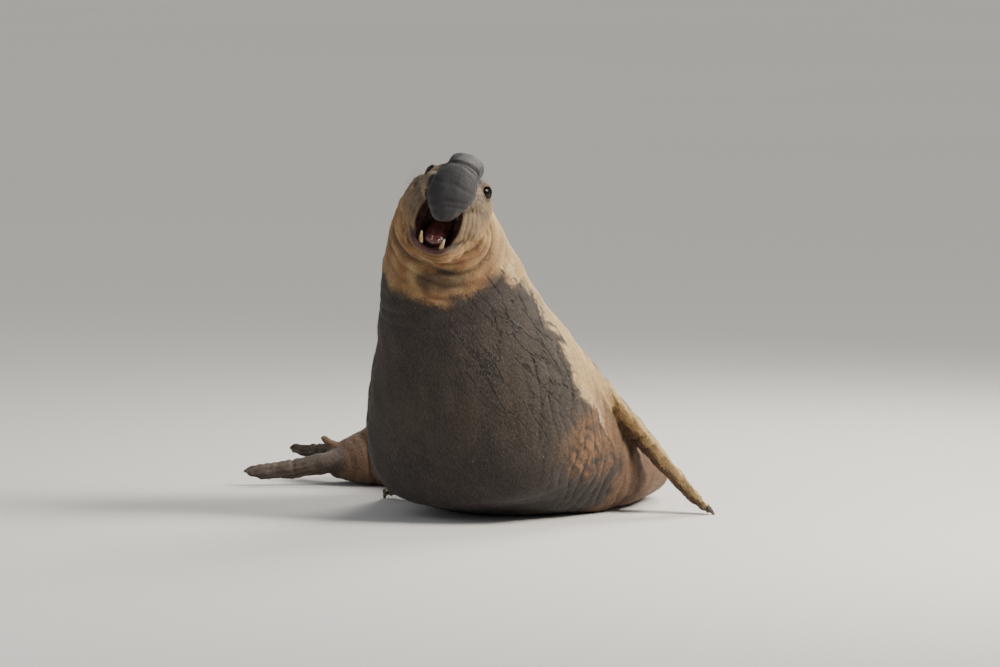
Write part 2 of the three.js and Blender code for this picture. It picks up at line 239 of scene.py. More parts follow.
@dataclass
class Axis:
    """A curved axis through part of the body.

    Attributes:
        spine: Samples of the axis.
        left: The body's left at each sample.
        stations: How many stations the samples run over.
    """

    spine: np.ndarray
    left: np.ndarray
    stations: int
    tangent: np.ndarray = field(init=False)
    back: np.ndarray = field(init=False)
    run: np.ndarray = field(init=False)

    def __post_init__(self) -> None:
        """Works out the directions and lengths along the axis."""
        self.tangent = np.gradient(self.spine, axis=0)
        self.tangent /= np.linalg.norm(self.tangent, axis=1, keepdims=True)
        self.left -= self.tangent * (self.left * self.tangent).sum(1, keepdims=True)
        self.left /= np.linalg.norm(self.left, axis=1, keepdims=True)
        self.back = np.cross(self.tangent, self.left)
        steps = np.linalg.norm(np.diff(self.spine, axis=0), axis=1)
        self.run = np.concatenate([[0.0], np.cumsum(steps)])

    def nearest(self, points: np.ndarray) -> np.ndarray:
        """Finds the sample that each point belongs to.

        Args:
            points: Places, one row each.

        Returns:
            The number of the nearest sample for each point.
        """
        found = [
            ((part[:, None, :] - self.spine[None]) ** 2).sum(2).argmin(1)
            for part in np.array_split(points.astype(np.float32), max(1, len(points) // 4000))
        ]
        return np.concatenate(found)


@dataclass
class Anatomy:
    """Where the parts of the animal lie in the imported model.

    Attributes:
        head: The head's frame, with its origin midway between the eyes.
        jaw: The lower jaw's frame, at its hinge.
        bite: The frame halfway between the jaws.
        body: The axis from the ankles to the muzzle.
        nose: The axis of the proboscis.
        offset: How far the model was moved to put its origin under its middle.
    """

    head: Place
    jaw: Place
    bite: Place
    body: Axis
    nose: Axis
    offset: np.ndarray

    @classmethod
    def read(cls) -> "Anatomy":
        """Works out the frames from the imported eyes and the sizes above.

        Returns:
            The animal's anatomy.
        """
        eyes = [sum((Vector(c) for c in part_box(name)), Vector()) / 2 for name in ("eye_left", "eye_right")]
        turn = (
            Matrix.Rotation(math.radians(HEAD_YAW), 3, "Z")
            @ Matrix.Rotation(-math.radians(HEAD_PITCH), 3, "X")
            @ Matrix.Rotation(math.radians(HEAD_ROLL), 3, "Y")
        )
        middle = np.array((eyes[0] + eyes[1]) / 2) - np.array(turn @ Vector((0, -0.002, 0)))
        head = Place(middle, np.array(turn))
        offset = middle - np.array(EYE_LINE)
        jaw = head.hinged(JAW_HINGE, JAW_OPEN)
        bite = head.hinged(JAW_HINGE, JAW_OPEN / 2)
        nose = Axis(catmull(head.world(np.array(NOSE)), 90), np.tile(head.turn[:, 0], (90, 1)), len(NOSE))
        return cls(head, jaw, bite, cls.torso(head, offset), nose, offset)

    @staticmethod
    def torso(head: Place, offset: np.ndarray) -> Axis:
        """Lays the axis of the body.

        Args:
            head: The head's frame.
            offset: How far the model was moved.

        Returns:
            The axis from the ankles to the muzzle.
        """
        spine, left = [], []
        bend = BEND_RADIUS * BEND_ANGLE
        for distance, height in zip(TRUNK_STATIONS, TRUNK_HEIGHTS):
            turned = min(max((distance - STRAIGHT_RUN) / bend, 0), 1) * BEND_ANGLE
            after = max(distance - STRAIGHT_RUN - bend, 0)
            x = TRUNK_START[0] - BEND_RADIUS * (1 - math.cos(turned)) - after * math.sin(turned)
            y = TRUNK_START[1] + min(distance, STRAIGHT_RUN) + BEND_RADIUS * math.sin(turned)
            spine.append(offset + (x, y + after * math.cos(turned), height))
            left.append(np.array((math.cos(turned), math.sin(turned), 0)))
        for place, lean in zip(REARED, REARED_LEAN):
            spine.append(offset + place)
            left.append((1 - lean) * np.array((1.0, 0, 0)) + lean * head.turn[:, 0])
        for y, z in SKULL:
            spine.append(head.world(np.array([(0, y, z)]))[0])
            left.append(head.turn[:, 0])
        return Axis(catmull(np.array(spine), 260), catmull(np.array(left), 260), len(spine))


@dataclass(frozen=True)
class Blade:
    """Where one flipper lies, before the model's origin is moved.

    Attributes:
        root: Where its leading edge leaves the body.
        tip: Where its leading edge ends.
        chord: Which way its trailing edge lies.
    """

    root: tuple[float, float, float]
    tip: tuple[float, float, float]
    chord: tuple[float, float, float]

    def axes(self) -> tuple[np.ndarray, np.ndarray, float]:
        """Gives the directions of the blade.

        Returns:
            The way to the tip, the way to the trailing edge, and the length.
        """
        ahead = np.array(self.tip) - np.array(self.root)
        length = float(np.linalg.norm(ahead))
        ahead /= length
        across = np.array(self.chord) - ahead * (np.array(self.chord) @ ahead)
        return ahead, across / np.linalg.norm(across), length

    def measure(self, points: np.ndarray, offset: np.ndarray) -> tuple[np.ndarray, np.ndarray]:
        """Tells where points lie on the blade.

        Args:
            points: Places in the model's frame, one row each.
            offset: How far the model was moved.

        Returns:
            The share of the way to the tip, and the distance behind the leading edge.
        """
        ahead, across, length = self.axes()
        reach = points - offset - np.array(self.root)
        return reach @ ahead / length, reach @ across


def at_ankle(back: float, left: float, height: float) -> tuple[float, float, float]:
    """Gives a place by the ankles.

    Args:
        back: Distance behind the ankles.
        left: Distance to the animal's left.
        height: Height over the floor.

    Returns:
        The place, before the model's origin is moved.
    """
    after = ANKLES - 0.06 - STRAIGHT_RUN - BEND_RADIUS * BEND_ANGLE
    cos, sin = math.cos(BEND_ANGLE), math.sin(BEND_ANGLE)
    x = TRUNK_START[0] - BEND_RADIUS * (1 - cos) - (after + back) * sin + left * cos
    y = TRUNK_START[1] + STRAIGHT_RUN + BEND_RADIUS * sin + (after + back) * cos + left * sin
    return x, y, height


FLIPPERS = {
    "fore_flipper_left": Blade((0.385, 0.150, 0.945), (1.088, 0.536, 0.002), (-0.59, 0.78, -0.2)),
    "fore_flipper_right": Blade((-0.620, 0.160, 0.780), (-0.990, 0.700, 0.002), (0.62, 0.75, -0.25)),
    "hind_flipper_right": Blade(
        at_ankle(-0.040, -0.095, 0.216), at_ankle(0.592, -0.150, 0.122), (-0.12, -0.1, -1.0),
    ),
    "hind_flipper_left": Blade(
        at_ankle(-0.040, 0.095, 0.250), at_ankle(0.320, 0.430, 0.200), (0.1, 0.28, -1.0),
    ),
}
# Where each claw stands: its share of the way to the tip, and its distance behind the leading edge
CLAWS = ((0.955, 0.030), (0.925, 0.068), (0.885, 0.104), (0.835, 0.142), (0.775, 0.182))


@dataclass
class Survey:
    """What is known of each vertex of the skin.

    Attributes:
        anatomy: The animal's anatomy.
        points: The vertices.
        normal: Which way each vertex faces.
        owner: For each node of note, how strongly each vertex belongs to it.
    """

    anatomy: Anatomy
    points: np.ndarray
    normal: np.ndarray
    owner: dict[str, np.ndarray]
    station: np.ndarray = field(init=False)
    run: np.ndarray = field(init=False)
    angle: np.ndarray = field(init=False)
    head: np.ndarray = field(init=False)
    jaw: np.ndarray = field(init=False)
    bite: np.ndarray = field(init=False)
    side: np.ndarray = field(init=False)
    nose: np.ndarray = field(init=False)
    nose_angle: np.ndarray = field(init=False)

    def __post_init__(self) -> None:
        """Measures every vertex against the body's axes and frames."""
        axis = self.anatomy.body
        near = axis.nearest(self.points)
        reach = self.points - axis.spine[near]
        self.station = near / (len(axis.spine) - 1) * (axis.stations - 1)
        self.run = axis.run[near] + (reach * axis.tangent[near]).sum(1)
        self.side = (reach * axis.left[near]).sum(1)
        self.angle = np.degrees(np.arctan2((reach * axis.back[near]).sum(1), self.side))
        self.head = self.anatomy.head.local(self.points)
        self.jaw = self.anatomy.jaw.local(self.points)
        self.bite = self.anatomy.bite.local(self.points)
        nose = self.anatomy.nose
        near = nose.nearest(self.points)
        reach = self.points - nose.spine[near]
        self.nose = nose.run[near] + (reach * nose.tangent[near]).sum(1)
        over, beside = (reach * nose.back[near]).sum(1), (reach * nose.left[near]).sum(1)
        self.nose_angle = np.degrees(np.arctan2(over, beside))

    def facing(self, centre: float, spread: float) -> np.ndarray:
        """Tells how near each vertex faces a side in degrees: 0 is left, 90 the back and -90 the belly."""
        away = np.abs((self.angle - centre + 180) % 360 - 180)
        return 1.0 - smooth(0.35 * spread, spread, away)

    def mouth(self) -> np.ndarray:
        """Tells which vertices line the open mouth.

        Returns:
            Values from 0 to 1.
        """
        x, y, z = self.bite.T
        high = np.maximum(-y * math.tan(math.radians(JAW_OPEN / 2)), 0.010) + 0.014
        wide = np.interp(-y, (-0.035, 0.07, 0.15, 0.23, 0.31), (0.040, 0.092, 0.112, 0.122, 0.140))
        gape = (np.abs(x) / wide) ** 2.6 + (np.abs(z) / high) ** 2.6
        gape = np.where((y < 0.06) & (y > -0.30), gape, 9.0)
        jx, jy, jz = self.jaw.T
        bowl = (jx / 0.104) ** 2 + ((jy + 0.165) / 0.146) ** 2 + ((jz - 0.022) / 0.062) ** 2
        hx, hy, hz = self.head.T
        roof = (hx / 0.098) ** 2 + ((hy + 0.130) / 0.160) ** 2 + ((hz + 0.182) / 0.058) ** 2
        across, _, up = (self.normal @ self.anatomy.bite.turn).T
        inward = -(across * x + up * z) / np.maximum(np.hypot(x, z), 0.01)
        inside = np.minimum(np.minimum(gape, bowl), roof)
        return (1.0 - smooth(1.04, 1.24, inside)) * smooth(-0.3, 0.15, inward)

    def lip_ring(self) -> np.ndarray:
        """Measures how far outside the open mouth each vertex lies, as a share of the mouth's size.

        Returns:
            1 at the lips, and more outside.
        """
        x, y, z = self.bite.T
        high = np.maximum(-y * math.tan(math.radians(JAW_OPEN / 2)), 0.040) + 0.014
        wide = np.interp(-y, (-0.035, 0.07, 0.15, 0.23, 0.31), (0.100, 0.104, 0.116, 0.122, 0.140))
        return ((np.abs(x) / wide) ** 2.6 + (np.abs(z) / high) ** 2.6) ** (1 / 2.6)

    def face(self) -> np.ndarray:
        """Tells which vertices lie on the face."""
        reach = np.linalg.norm((self.head - (0.0, -0.14, -0.10)) / (1.0, 1.15, 1.0), axis=1)
        return 1.0 - smooth(0.17, 0.36, reach + 0.012 * ripple(self.points, 0.12, 51))

    def lip_distance(self) -> np.ndarray:
        """Measures how far each vertex lies from the rim of the lower lip.

        Returns:
            Distances.
        """
        turn = np.linspace(-1.5, 1.5, 60)
        rim = np.stack([0.138 * np.sin(turn), -0.06 - 0.245 * np.cos(turn) ** 0.8, np.full(60, 0.012)], 1)
        near = [
            np.sqrt(((part[:, None] - rim[None]) ** 2).sum(2)).min(1)
            for part in np.array_split(self.jaw, max(1, len(self.jaw) // 8000))
        ]
        return np.concatenate(near)

    def eye_distance(self) -> np.ndarray:
        """Measures how far each vertex lies from the nearer eye's centre."""
        spots = [np.array((s * EYE_SPAN, -0.002, 0.0)) for s in (1, -1)]
        return np.minimum(*(np.linalg.norm(self.head - spot, axis=1) for spot in spots))


@dataclass
class Relief:
    """Folds, creases and wrinkles that are deep enough to be modelled.

    Attributes:
        survey: What is known of each vertex.
        throat_station: The station of the body's axis that the folds of the throat start from.
    """

    survey: Survey
    throat_station: float = 13.8

    def height(self) -> np.ndarray:
        """Adds up every fold.

        Returns:
            How far each vertex moves out along its normal.
        """
        s = self.survey
        calm = 1.0 - np.maximum(s.mouth(), 0.0)
        parts = (self.chin, self.cheeks, self.nose, self.eyes, self.throat, self.body, self.flippers)
        return sum(part() for part in parts) * calm

    def chin(self) -> np.ndarray:
        """Lays the rolls of skin that run round the chin below the lip.

        Returns:
            Heights.
        """
        s = self.survey
        away = s.lip_distance() + 0.004 * ripple(s.points, 0.11, 3)
        under = (1 - smooth(0.0, 0.03, s.jaw[:, 2])) * (1 - smooth(0.10, 0.22, s.jaw[:, 1]))
        where = under * smooth(12.4, 13.2, s.station)
        rolls = 0.007 * groove(away, 0.012, 0.012)
        for centre, width, depth in (
            (0.040, 0.008, 0.012), (0.066, 0.008, 0.010), (0.098, 0.012, 0.018), (0.140, 0.010, 0.010),
            (0.196, 0.020, 0.026), (0.262, 0.014, 0.010), (0.330, 0.014, 0.007),
        ):
            rolls -= depth * groove(away, centre, width)
        return rolls * where

    def cheeks(self) -> np.ndarray:
        """Folds the cheeks round the corners of the open mouth.

        Returns:
            Heights.
        """
        s = self.survey
        ring = s.lip_ring() + 0.05 * ripple(s.points, 0.10, 23)
        beside = smooth(0.45, 0.8, np.abs(s.bite[:, 0]) / (np.abs(s.bite[:, 2]) + 0.09))
        where = beside * band(-0.24, 0.10, 0.05, s.bite[:, 1]) * (1 - s.owner["proboscis"])
        total = 0.004 * groove(ring, 1.12, 0.07)
        for centre, width, depth in (
            (1.27, 0.045, 0.008), (1.48, 0.05, 0.007), (1.74, 0.06, 0.008), (2.05, 0.07, 0.005),
        ):
            total -= depth * groove(ring, centre, width)
        return total * where

    def nose(self) -> np.ndarray:
        """Creases the proboscis across its bridge and wrinkles its lobe.

        Returns:
            Heights.
        """
        s = self.survey
        along = s.nose + 0.006 * ripple(s.points, 0.13, 5)
        top = 1 - smooth(95, 150, np.abs(s.nose_angle - 90))
        total = -0.018 * groove(along, 0.282, 0.012) * top + 0.007 * groove(along, 0.225, 0.040) * top
        for centre, width, depth in (
            (0.062, 0.008, 0.004), (0.105, 0.007, 0.004), (0.150, 0.008, 0.004), (0.312, 0.008, 0.004),
            (0.420, 0.010, 0.003), (0.500, 0.010, 0.004), (0.535, 0.008, 0.004),
        ):
            total -= depth * groove(along, centre, width) * top
        return total * s.owner["proboscis"]

    def eyes(self) -> np.ndarray:
        """Raises the rims of the lids and wrinkles the skin around them.

        Returns:
            Heights.
        """
        s = self.survey
        away = s.eye_distance()
        above = smooth(-0.03, 0.02, s.head[:, 2])
        rings = 0.003 * groove(away, 0.049, 0.006) - 0.004 * groove(away, 0.062, 0.006)
        rings -= above * (0.004 * groove(away, 0.080, 0.007) + 0.003 * groove(away, 0.100, 0.008))
        return rings * (1 - s.owner["proboscis"])

    def throat(self) -> np.ndarray:
        """Folds the loose skin under the chin, across the throat.

        Returns:
            Heights.
        """
        s = self.survey
        front = s.facing(-90, 105)
        run = s.run + 0.012 * ripple(s.points, 0.30, 8) + 0.02 * (1 - front)
        axis = s.anatomy.body
        start = np.interp(self.throat_station, np.linspace(0, axis.stations - 1, len(axis.run)), axis.run)
        total = np.zeros(len(run))
        for shift, width, depth in ((-0.05, 0.016, 0.007), (-0.12, 0.014, 0.006), (-0.19, 0.016, 0.006)):
            total -= depth * groove(run, start + shift, width)
        return total * front * band(12.4, 15.0, 0.5, s.station)

    def body(self) -> np.ndarray:
        """Folds the hide where the body bends and lets it hang unevenly elsewhere.

        Returns:
            Heights.
        """
        s = self.survey
        wander = 0.035 * ripple(s.points, 0.5, 11)
        wave = np.cos((s.run + wander) * 2 * math.pi / 0.125)
        fold = -np.maximum(wave - 0.25, 0) ** 1.5
        inner = s.facing(165, 95) * band(2.2, 8.0, 1.2, s.station)
        nape = s.facing(90, 80) * band(9.3, 12.6, 0.8, s.station)
        fine = np.cos((s.run + 0.9 * wander) * 2 * math.pi / 0.060)
        ankle = band(-0.5, 2.6, 1.2, s.station)
        flank = (s.facing(-10, 60) + s.facing(190, 60)) * band(8.8, 11.2, 0.8, s.station)
        upright = np.cos((s.side + s.points[:, 1] + 0.03 * ripple(s.points, 0.3, 21)) * 2 * math.pi / 0.10)
        total = fold * (0.020 * inner + 0.012 * nape) + 0.0014 * fine * ankle
        total -= 0.006 * np.maximum(upright, 0) ** 2 * flank
        torso = 1 - smooth(14.0, 15.5, s.station)
        total += torso * (0.007 * ripple(s.points, 0.55, 13) + 0.0030 * ripple(s.points, 0.16, 14))
        head = (1 - torso) * (1 - 0.6 * s.owner["proboscis"])
        total += head * (0.0026 * ripple(s.points, 0.08, 15) + 0.0011 * ripple(s.points, 0.035, 16))
        return total

    def flippers(self) -> np.ndarray:
        """Raises the digits of the flippers and creases their wrists.

        Returns:
            Heights.
        """
        s = self.survey
        total = np.zeros(len(s.points))
        for name, blade in FLIPPERS.items():
            share, over = blade.measure(s.points, s.anatomy.offset)
            spacing, size = (0.038, 0.0042) if "fore" in name else (0.030, 0.0034)
            digits = np.cos((over - 0.030 + 0.004 * ripple(s.points, 0.2, 61)) * 2 * math.pi / spacing)
            rise = size * digits * smooth(0.12, 0.45, share) * smooth(0.0, 0.03, over)
            wrist = 0.007 * groove(share + 0.15 * over, 0.52, 0.012) * (1 - smooth(0.06, 0.14, over))
            total += s.owner[name] * (rise - wrist)
        return total


@dataclass
class Hide:
    """The markings that skin and coat share, with painted shade and painted highlights among them.

    Attributes:
        survey: What is known of each vertex.
        height: Each vertex's height over the floor.
        depth: How far each vertex lies behind the front of the animal's frame.
        azimuth: Degrees round from the chest to the animal's left.
    """

    survey: Survey
    height: np.ndarray = field(init=False)
    depth: np.ndarray = field(init=False)
    azimuth: np.ndarray = field(init=False)

    def __post_init__(self) -> None:
        """Measures every vertex against the chest."""
        x, self.depth, self.height = (self.survey.points - self.survey.anatomy.offset).T
        self.azimuth = np.degrees(np.arctan2(x + 0.12, -(self.depth - 0.45)))

    def shield(self) -> np.ndarray:
        """Lays the dark, scarred shield of the chest, its darkness partly the hide's own colour and partly
        painted shade.

        Returns:
            Values from 0 to 1.
        """
        s = self.survey
        z = self.height
        right = np.interp(z, (0.35, 0.55, 0.70, 1.00, 1.20, 1.30, 1.38), (76, 60, 50, 43, 35, 28, 20))
        left = np.interp(z, (0.35, 0.55, 0.70, 1.00, 1.50), (76, 62, 56, 54, 48))
        limit = np.where(self.azimuth > 0, right, left)
        ragged = 3.5 * ripple(s.points, 0.22, 31) + 2.0 * ripple(s.points, 0.07, 32)
        inside = 1 - smooth(-4, 5, np.abs(self.azimuth) - limit + ragged)
        front = 1 - smooth(-0.02, 0.18, self.depth - 0.35 * (1.1 - z))
        around = (-45, -28, -10, -2, 9, 18, 30)
        top = np.interp(self.azimuth, around, (1.50, 1.42, 1.26, 1.22, 1.30, 1.42, 1.46))
        below = 1 - smooth(-0.06, 0.05, z - top + 0.025 * ripple(s.points, 0.1, 33))
        return inside * front * below * band(7.5, 14.8, 0.8, s.station)

    def scars(self) -> np.ndarray:
        """Tells where the shield is cracked, most of all on the animal's left."""
        most = smooth(-2, 12, self.azimuth) * smooth(0.55, 0.80, self.height)
        return self.shield() * (0.22 + 0.78 * most)

    def colour(self) -> np.ndarray:
        """Paints every vertex.

        Returns:
            Red, green and blue in linear light, one row each.
        """
        s = self.survey
        c = COLOURS
        paint = np.tile(np.array(c.tan), (len(s.points), 1))

        def lay(colour: tuple[float, float, float], share: np.ndarray) -> None:
            """Mixes a colour in.

            Args:
                colour: The colour to add.
                share: How much of it each vertex takes.
            """
            nonlocal paint
            share = np.clip(share, 0, 1)[:, None]
            paint = paint * (1 - share) + np.array(colour) * share

        z = s.points[:, 2]
        mottle = ripple(s.points, 0.35, 41)
        lay(c.brown, band(-2, 9.6, 1.4, s.station) * (0.72 + 0.2 * mottle))
        lay(c.rump, (1 - smooth(2.0, 5.0, s.station)) * 0.75)
        lay(c.cream, band(10.6, 15.4, 1.2, s.station) * (0.85 + 0.15 * mottle))
        lay(c.brown, (1 - smooth(0.25, 0.60, z + 0.06 * mottle)) * 0.8)
        throat = s.facing(-90, 110) * band(12.9, 15.6, 0.8, s.station)
        lay(c.ochre, throat * (0.72 + 0.28 * ripple(s.points, 0.16, 44)))
        # The shield's own dark hide together with painted shade over the chest
        lay(c.shield, self.shield() * 0.96)
        gold = np.hypot((self.azimuth - 56) / 20, (self.height - 0.43) / 0.22)
        lay(c.ochre, (1 - smooth(0.4, 1.2, gold)) * (0.40 + 0.60 * ripple(s.points, 0.06, 45)))
        # Painted shadow: dark grey-brown laid in the hollow of the throat under the jaw, where the jaw's
        # shade falls
        shadow_under_jaw = np.hypot((self.azimuth + 1) / 11, (self.height - 1.355) / 0.075)
        shadow_under_jaw += 0.15 * ripple(s.points, 0.08, 46)
        lay(c.dark_hide_and_shade, (1 - smooth(0.5, 1.2, shadow_under_jaw)) * (self.depth < 0) * 0.7)
        lay(c.face, s.face() * 0.85)
        lay(c.dark_hide_and_shade, 0.55 * (1 - smooth(0.045, 0.085, s.eye_distance())))
        lip = (1 - smooth(0.008, 0.034, s.lip_distance())) * (s.jaw[:, 2] > -0.06)
        lay(c.lip, lip * 0.85)
        for name, blade in FLIPPERS.items():
            share, over = blade.measure(s.points, s.anatomy.offset)
            here = s.owner[name] * smooth(-0.02, 0.12, share)
            # Painted highlight: a paler band along each flipper's leading edge, the top edge of the hind
            # flippers, where the edge catches the light
            edge = 1 - smooth(0.035, 0.085, over + 0.012 * ripple(s.points, 0.09, 62))
            lay(c.dark_hide_and_shade if "hind" in name else c.brown, here * 0.85)
            lay(c.cream if "fore" in name else c.rump, here * edge * 0.92)
            spots = smooth(0.35, 0.8, ripple(s.points, 0.045, 63)) * smooth(0.45, 0.9, share)
            lay(c.dark_hide_and_shade, here * spots * 0.7)
        lay(c.slate, s.owner["proboscis"] * 0.96)
        # The mouth's flesh, its colour darkened as painted shade inside the open mouth
        lay(c.flesh, s.mouth())
        return paint

    def flecks(self) -> np.ndarray:
        """Lays the ragged pale edge between the shield and the sides of the neck.

        Returns:
            Values from 0 to 1.
        """
        s = self.survey
        z = s.points[:, 2]
        edge = self.shield()
        beside = 1 - smooth(0.25, 0.6, s.facing(-90, 100))
        return 4 * edge * (1 - edge) * np.maximum(beside, 0.15) * smooth(0.35, 0.6, z)


class Graph:
    """A short way to write a material's nodes."""

    def __init__(self, name: str) -> None:
        """Starts a material.

        Args:
            name: The material's name.
        """
        self.material = bpy.data.materials.new(name)
        self.material.use_nodes = True
        self.tree = self.material.node_tree
        self.shader = self.tree.nodes["Principled BSDF"]
        self.place = self.tree.nodes.new("ShaderNodeTexCoord").outputs["Object"]

    def node(self, kind: str, **settings: object) -> bpy.types.Node:
        """Adds a node.

        Args:
            kind: Its type.
            **settings: Its properties.

        Returns:
            The node.
        """
        made = self.tree.nodes.new(kind)
        for key, value in settings.items():
            setattr(made, key, value)
        return made

    def feed(self, socket: bpy.types.NodeSocket, source: object) -> None:
        """Links a socket or sets its value.

        Args:
            socket: The socket to fill.
            source: Another node's output, or a value.
        """
        if isinstance(source, bpy.types.NodeSocket):
            self.tree.links.new(source, socket)
        else:
            socket.default_value = source

    def attribute(self, name: str, output: str = "Fac") -> bpy.types.NodeSocket:
        """Reads a named attribute of the mesh."""
        return self.node("ShaderNodeAttribute", attribute_name=name).outputs[output]

    def maths(
        self, operation: str, first: object, second: object = 0.0, clamp: bool = False,
    ) -> bpy.types.NodeSocket:
        """Combines two numbers.

        Args:
            operation: What to do with them.
            first: The first.
            second: The second.
            clamp: Whether the result stays between 0 and 1.

        Returns:
            The result.
        """
        made = self.node("ShaderNodeMath", operation=operation, use_clamp=clamp)
        self.feed(made.inputs[0], first)
        self.feed(made.inputs[1], second)
        return made.outputs[0]

    def stretch(
        self, turn: tuple[float, float, float], scale: tuple[float, float, float],
    ) -> bpy.types.NodeSocket:
        """Turns and stretches the object's coordinates.

        Args:
            turn: Angles in degrees.
            scale: How many metres one unit spans on each turned axis.

        Returns:
            The new coordinates.
        """
        made = self.node("ShaderNodeMapping", vector_type="TEXTURE")
        self.feed(made.inputs["Vector"], self.place)
        made.inputs["Rotation"].default_value = [math.radians(a) for a in turn]
        made.inputs["Scale"].default_value = scale
        return made.outputs[0]

    def noise(
        self, scale: float, detail: float = 4.0, rough: float = 0.55, where: object = None,
    ) -> bpy.types.NodeSocket:
        """Adds a noise texture.

        Args:
            scale: Its scale.
            detail: Its octaves.
            rough: How strong the fine octaves are.
            where: Coordinates, or none for the object's own.

        Returns:
            Its value, around a half.
        """
        made = self.node("ShaderNodeTexNoise")
        self.feed(made.inputs["Vector"], where or self.place)
        made.inputs["Scale"].default_value = scale
        made.inputs["Detail"].default_value = detail
        made.inputs["Roughness"].default_value = rough
        return made.outputs["Fac"]

    def ramp(
        self, value: object, low: float, high: float, start: float = 0.0, end: float = 1.0,
    ) -> bpy.types.NodeSocket:
        """Maps a range of values smoothly onto another.

        Args:
            value: The value to map.
            low: Where the result is start.
            high: Where the result is end.
            start: The result at low.
            end: The result at high.

        Returns:
            The mapped value.
        """
        made = self.node("ShaderNodeMapRange", interpolation_type="SMOOTHSTEP")
        keys = ("Value", "From Min", "From Max", "To Min", "To Max")
        for key, item in zip(keys, (value, low, high, start, end)):
            self.feed(made.inputs[key], item)
        return made.outputs[0]

    def mix(self, share: object, first: object, second: object, blend: str = "MIX") -> bpy.types.NodeSocket:
        """Mixes two colours.

        Args:
            share: How much of the second.
            first: The first colour.
            second: The second colour.
            blend: How they combine.

        Returns:
            The mixed colour.
        """
        made = self.node("ShaderNodeMix", data_type="RGBA", blend_type=blend)
        self.feed(made.inputs[0], share)
        for socket, colour in ((made.inputs[6], first), (made.inputs[7], second)):
            self.feed(socket, (*colour, 1.0) if isinstance(colour, tuple) and len(colour) == 3 else colour)
        return made.outputs[2]

    def bump(self, height: object, distance: float, strength: float = 1.0) -> None:
        """Adds relief on top of what the shader has.

        Args:
            height: The relief's height, from 0 to 1.
            distance: How far 1 stands out, in metres.
            strength: How strong the relief is.
        """
        made = self.node("ShaderNodeBump")
        made.inputs["Distance"].default_value = distance
        made.inputs["Strength"].default_value = strength
        self.feed(made.inputs["Height"], height)
        under = self.shader.inputs["Normal"]
        if under.is_linked:
            self.feed(made.inputs["Normal"], under.links[0].from_socket)
        self.feed(under, made.outputs[0])


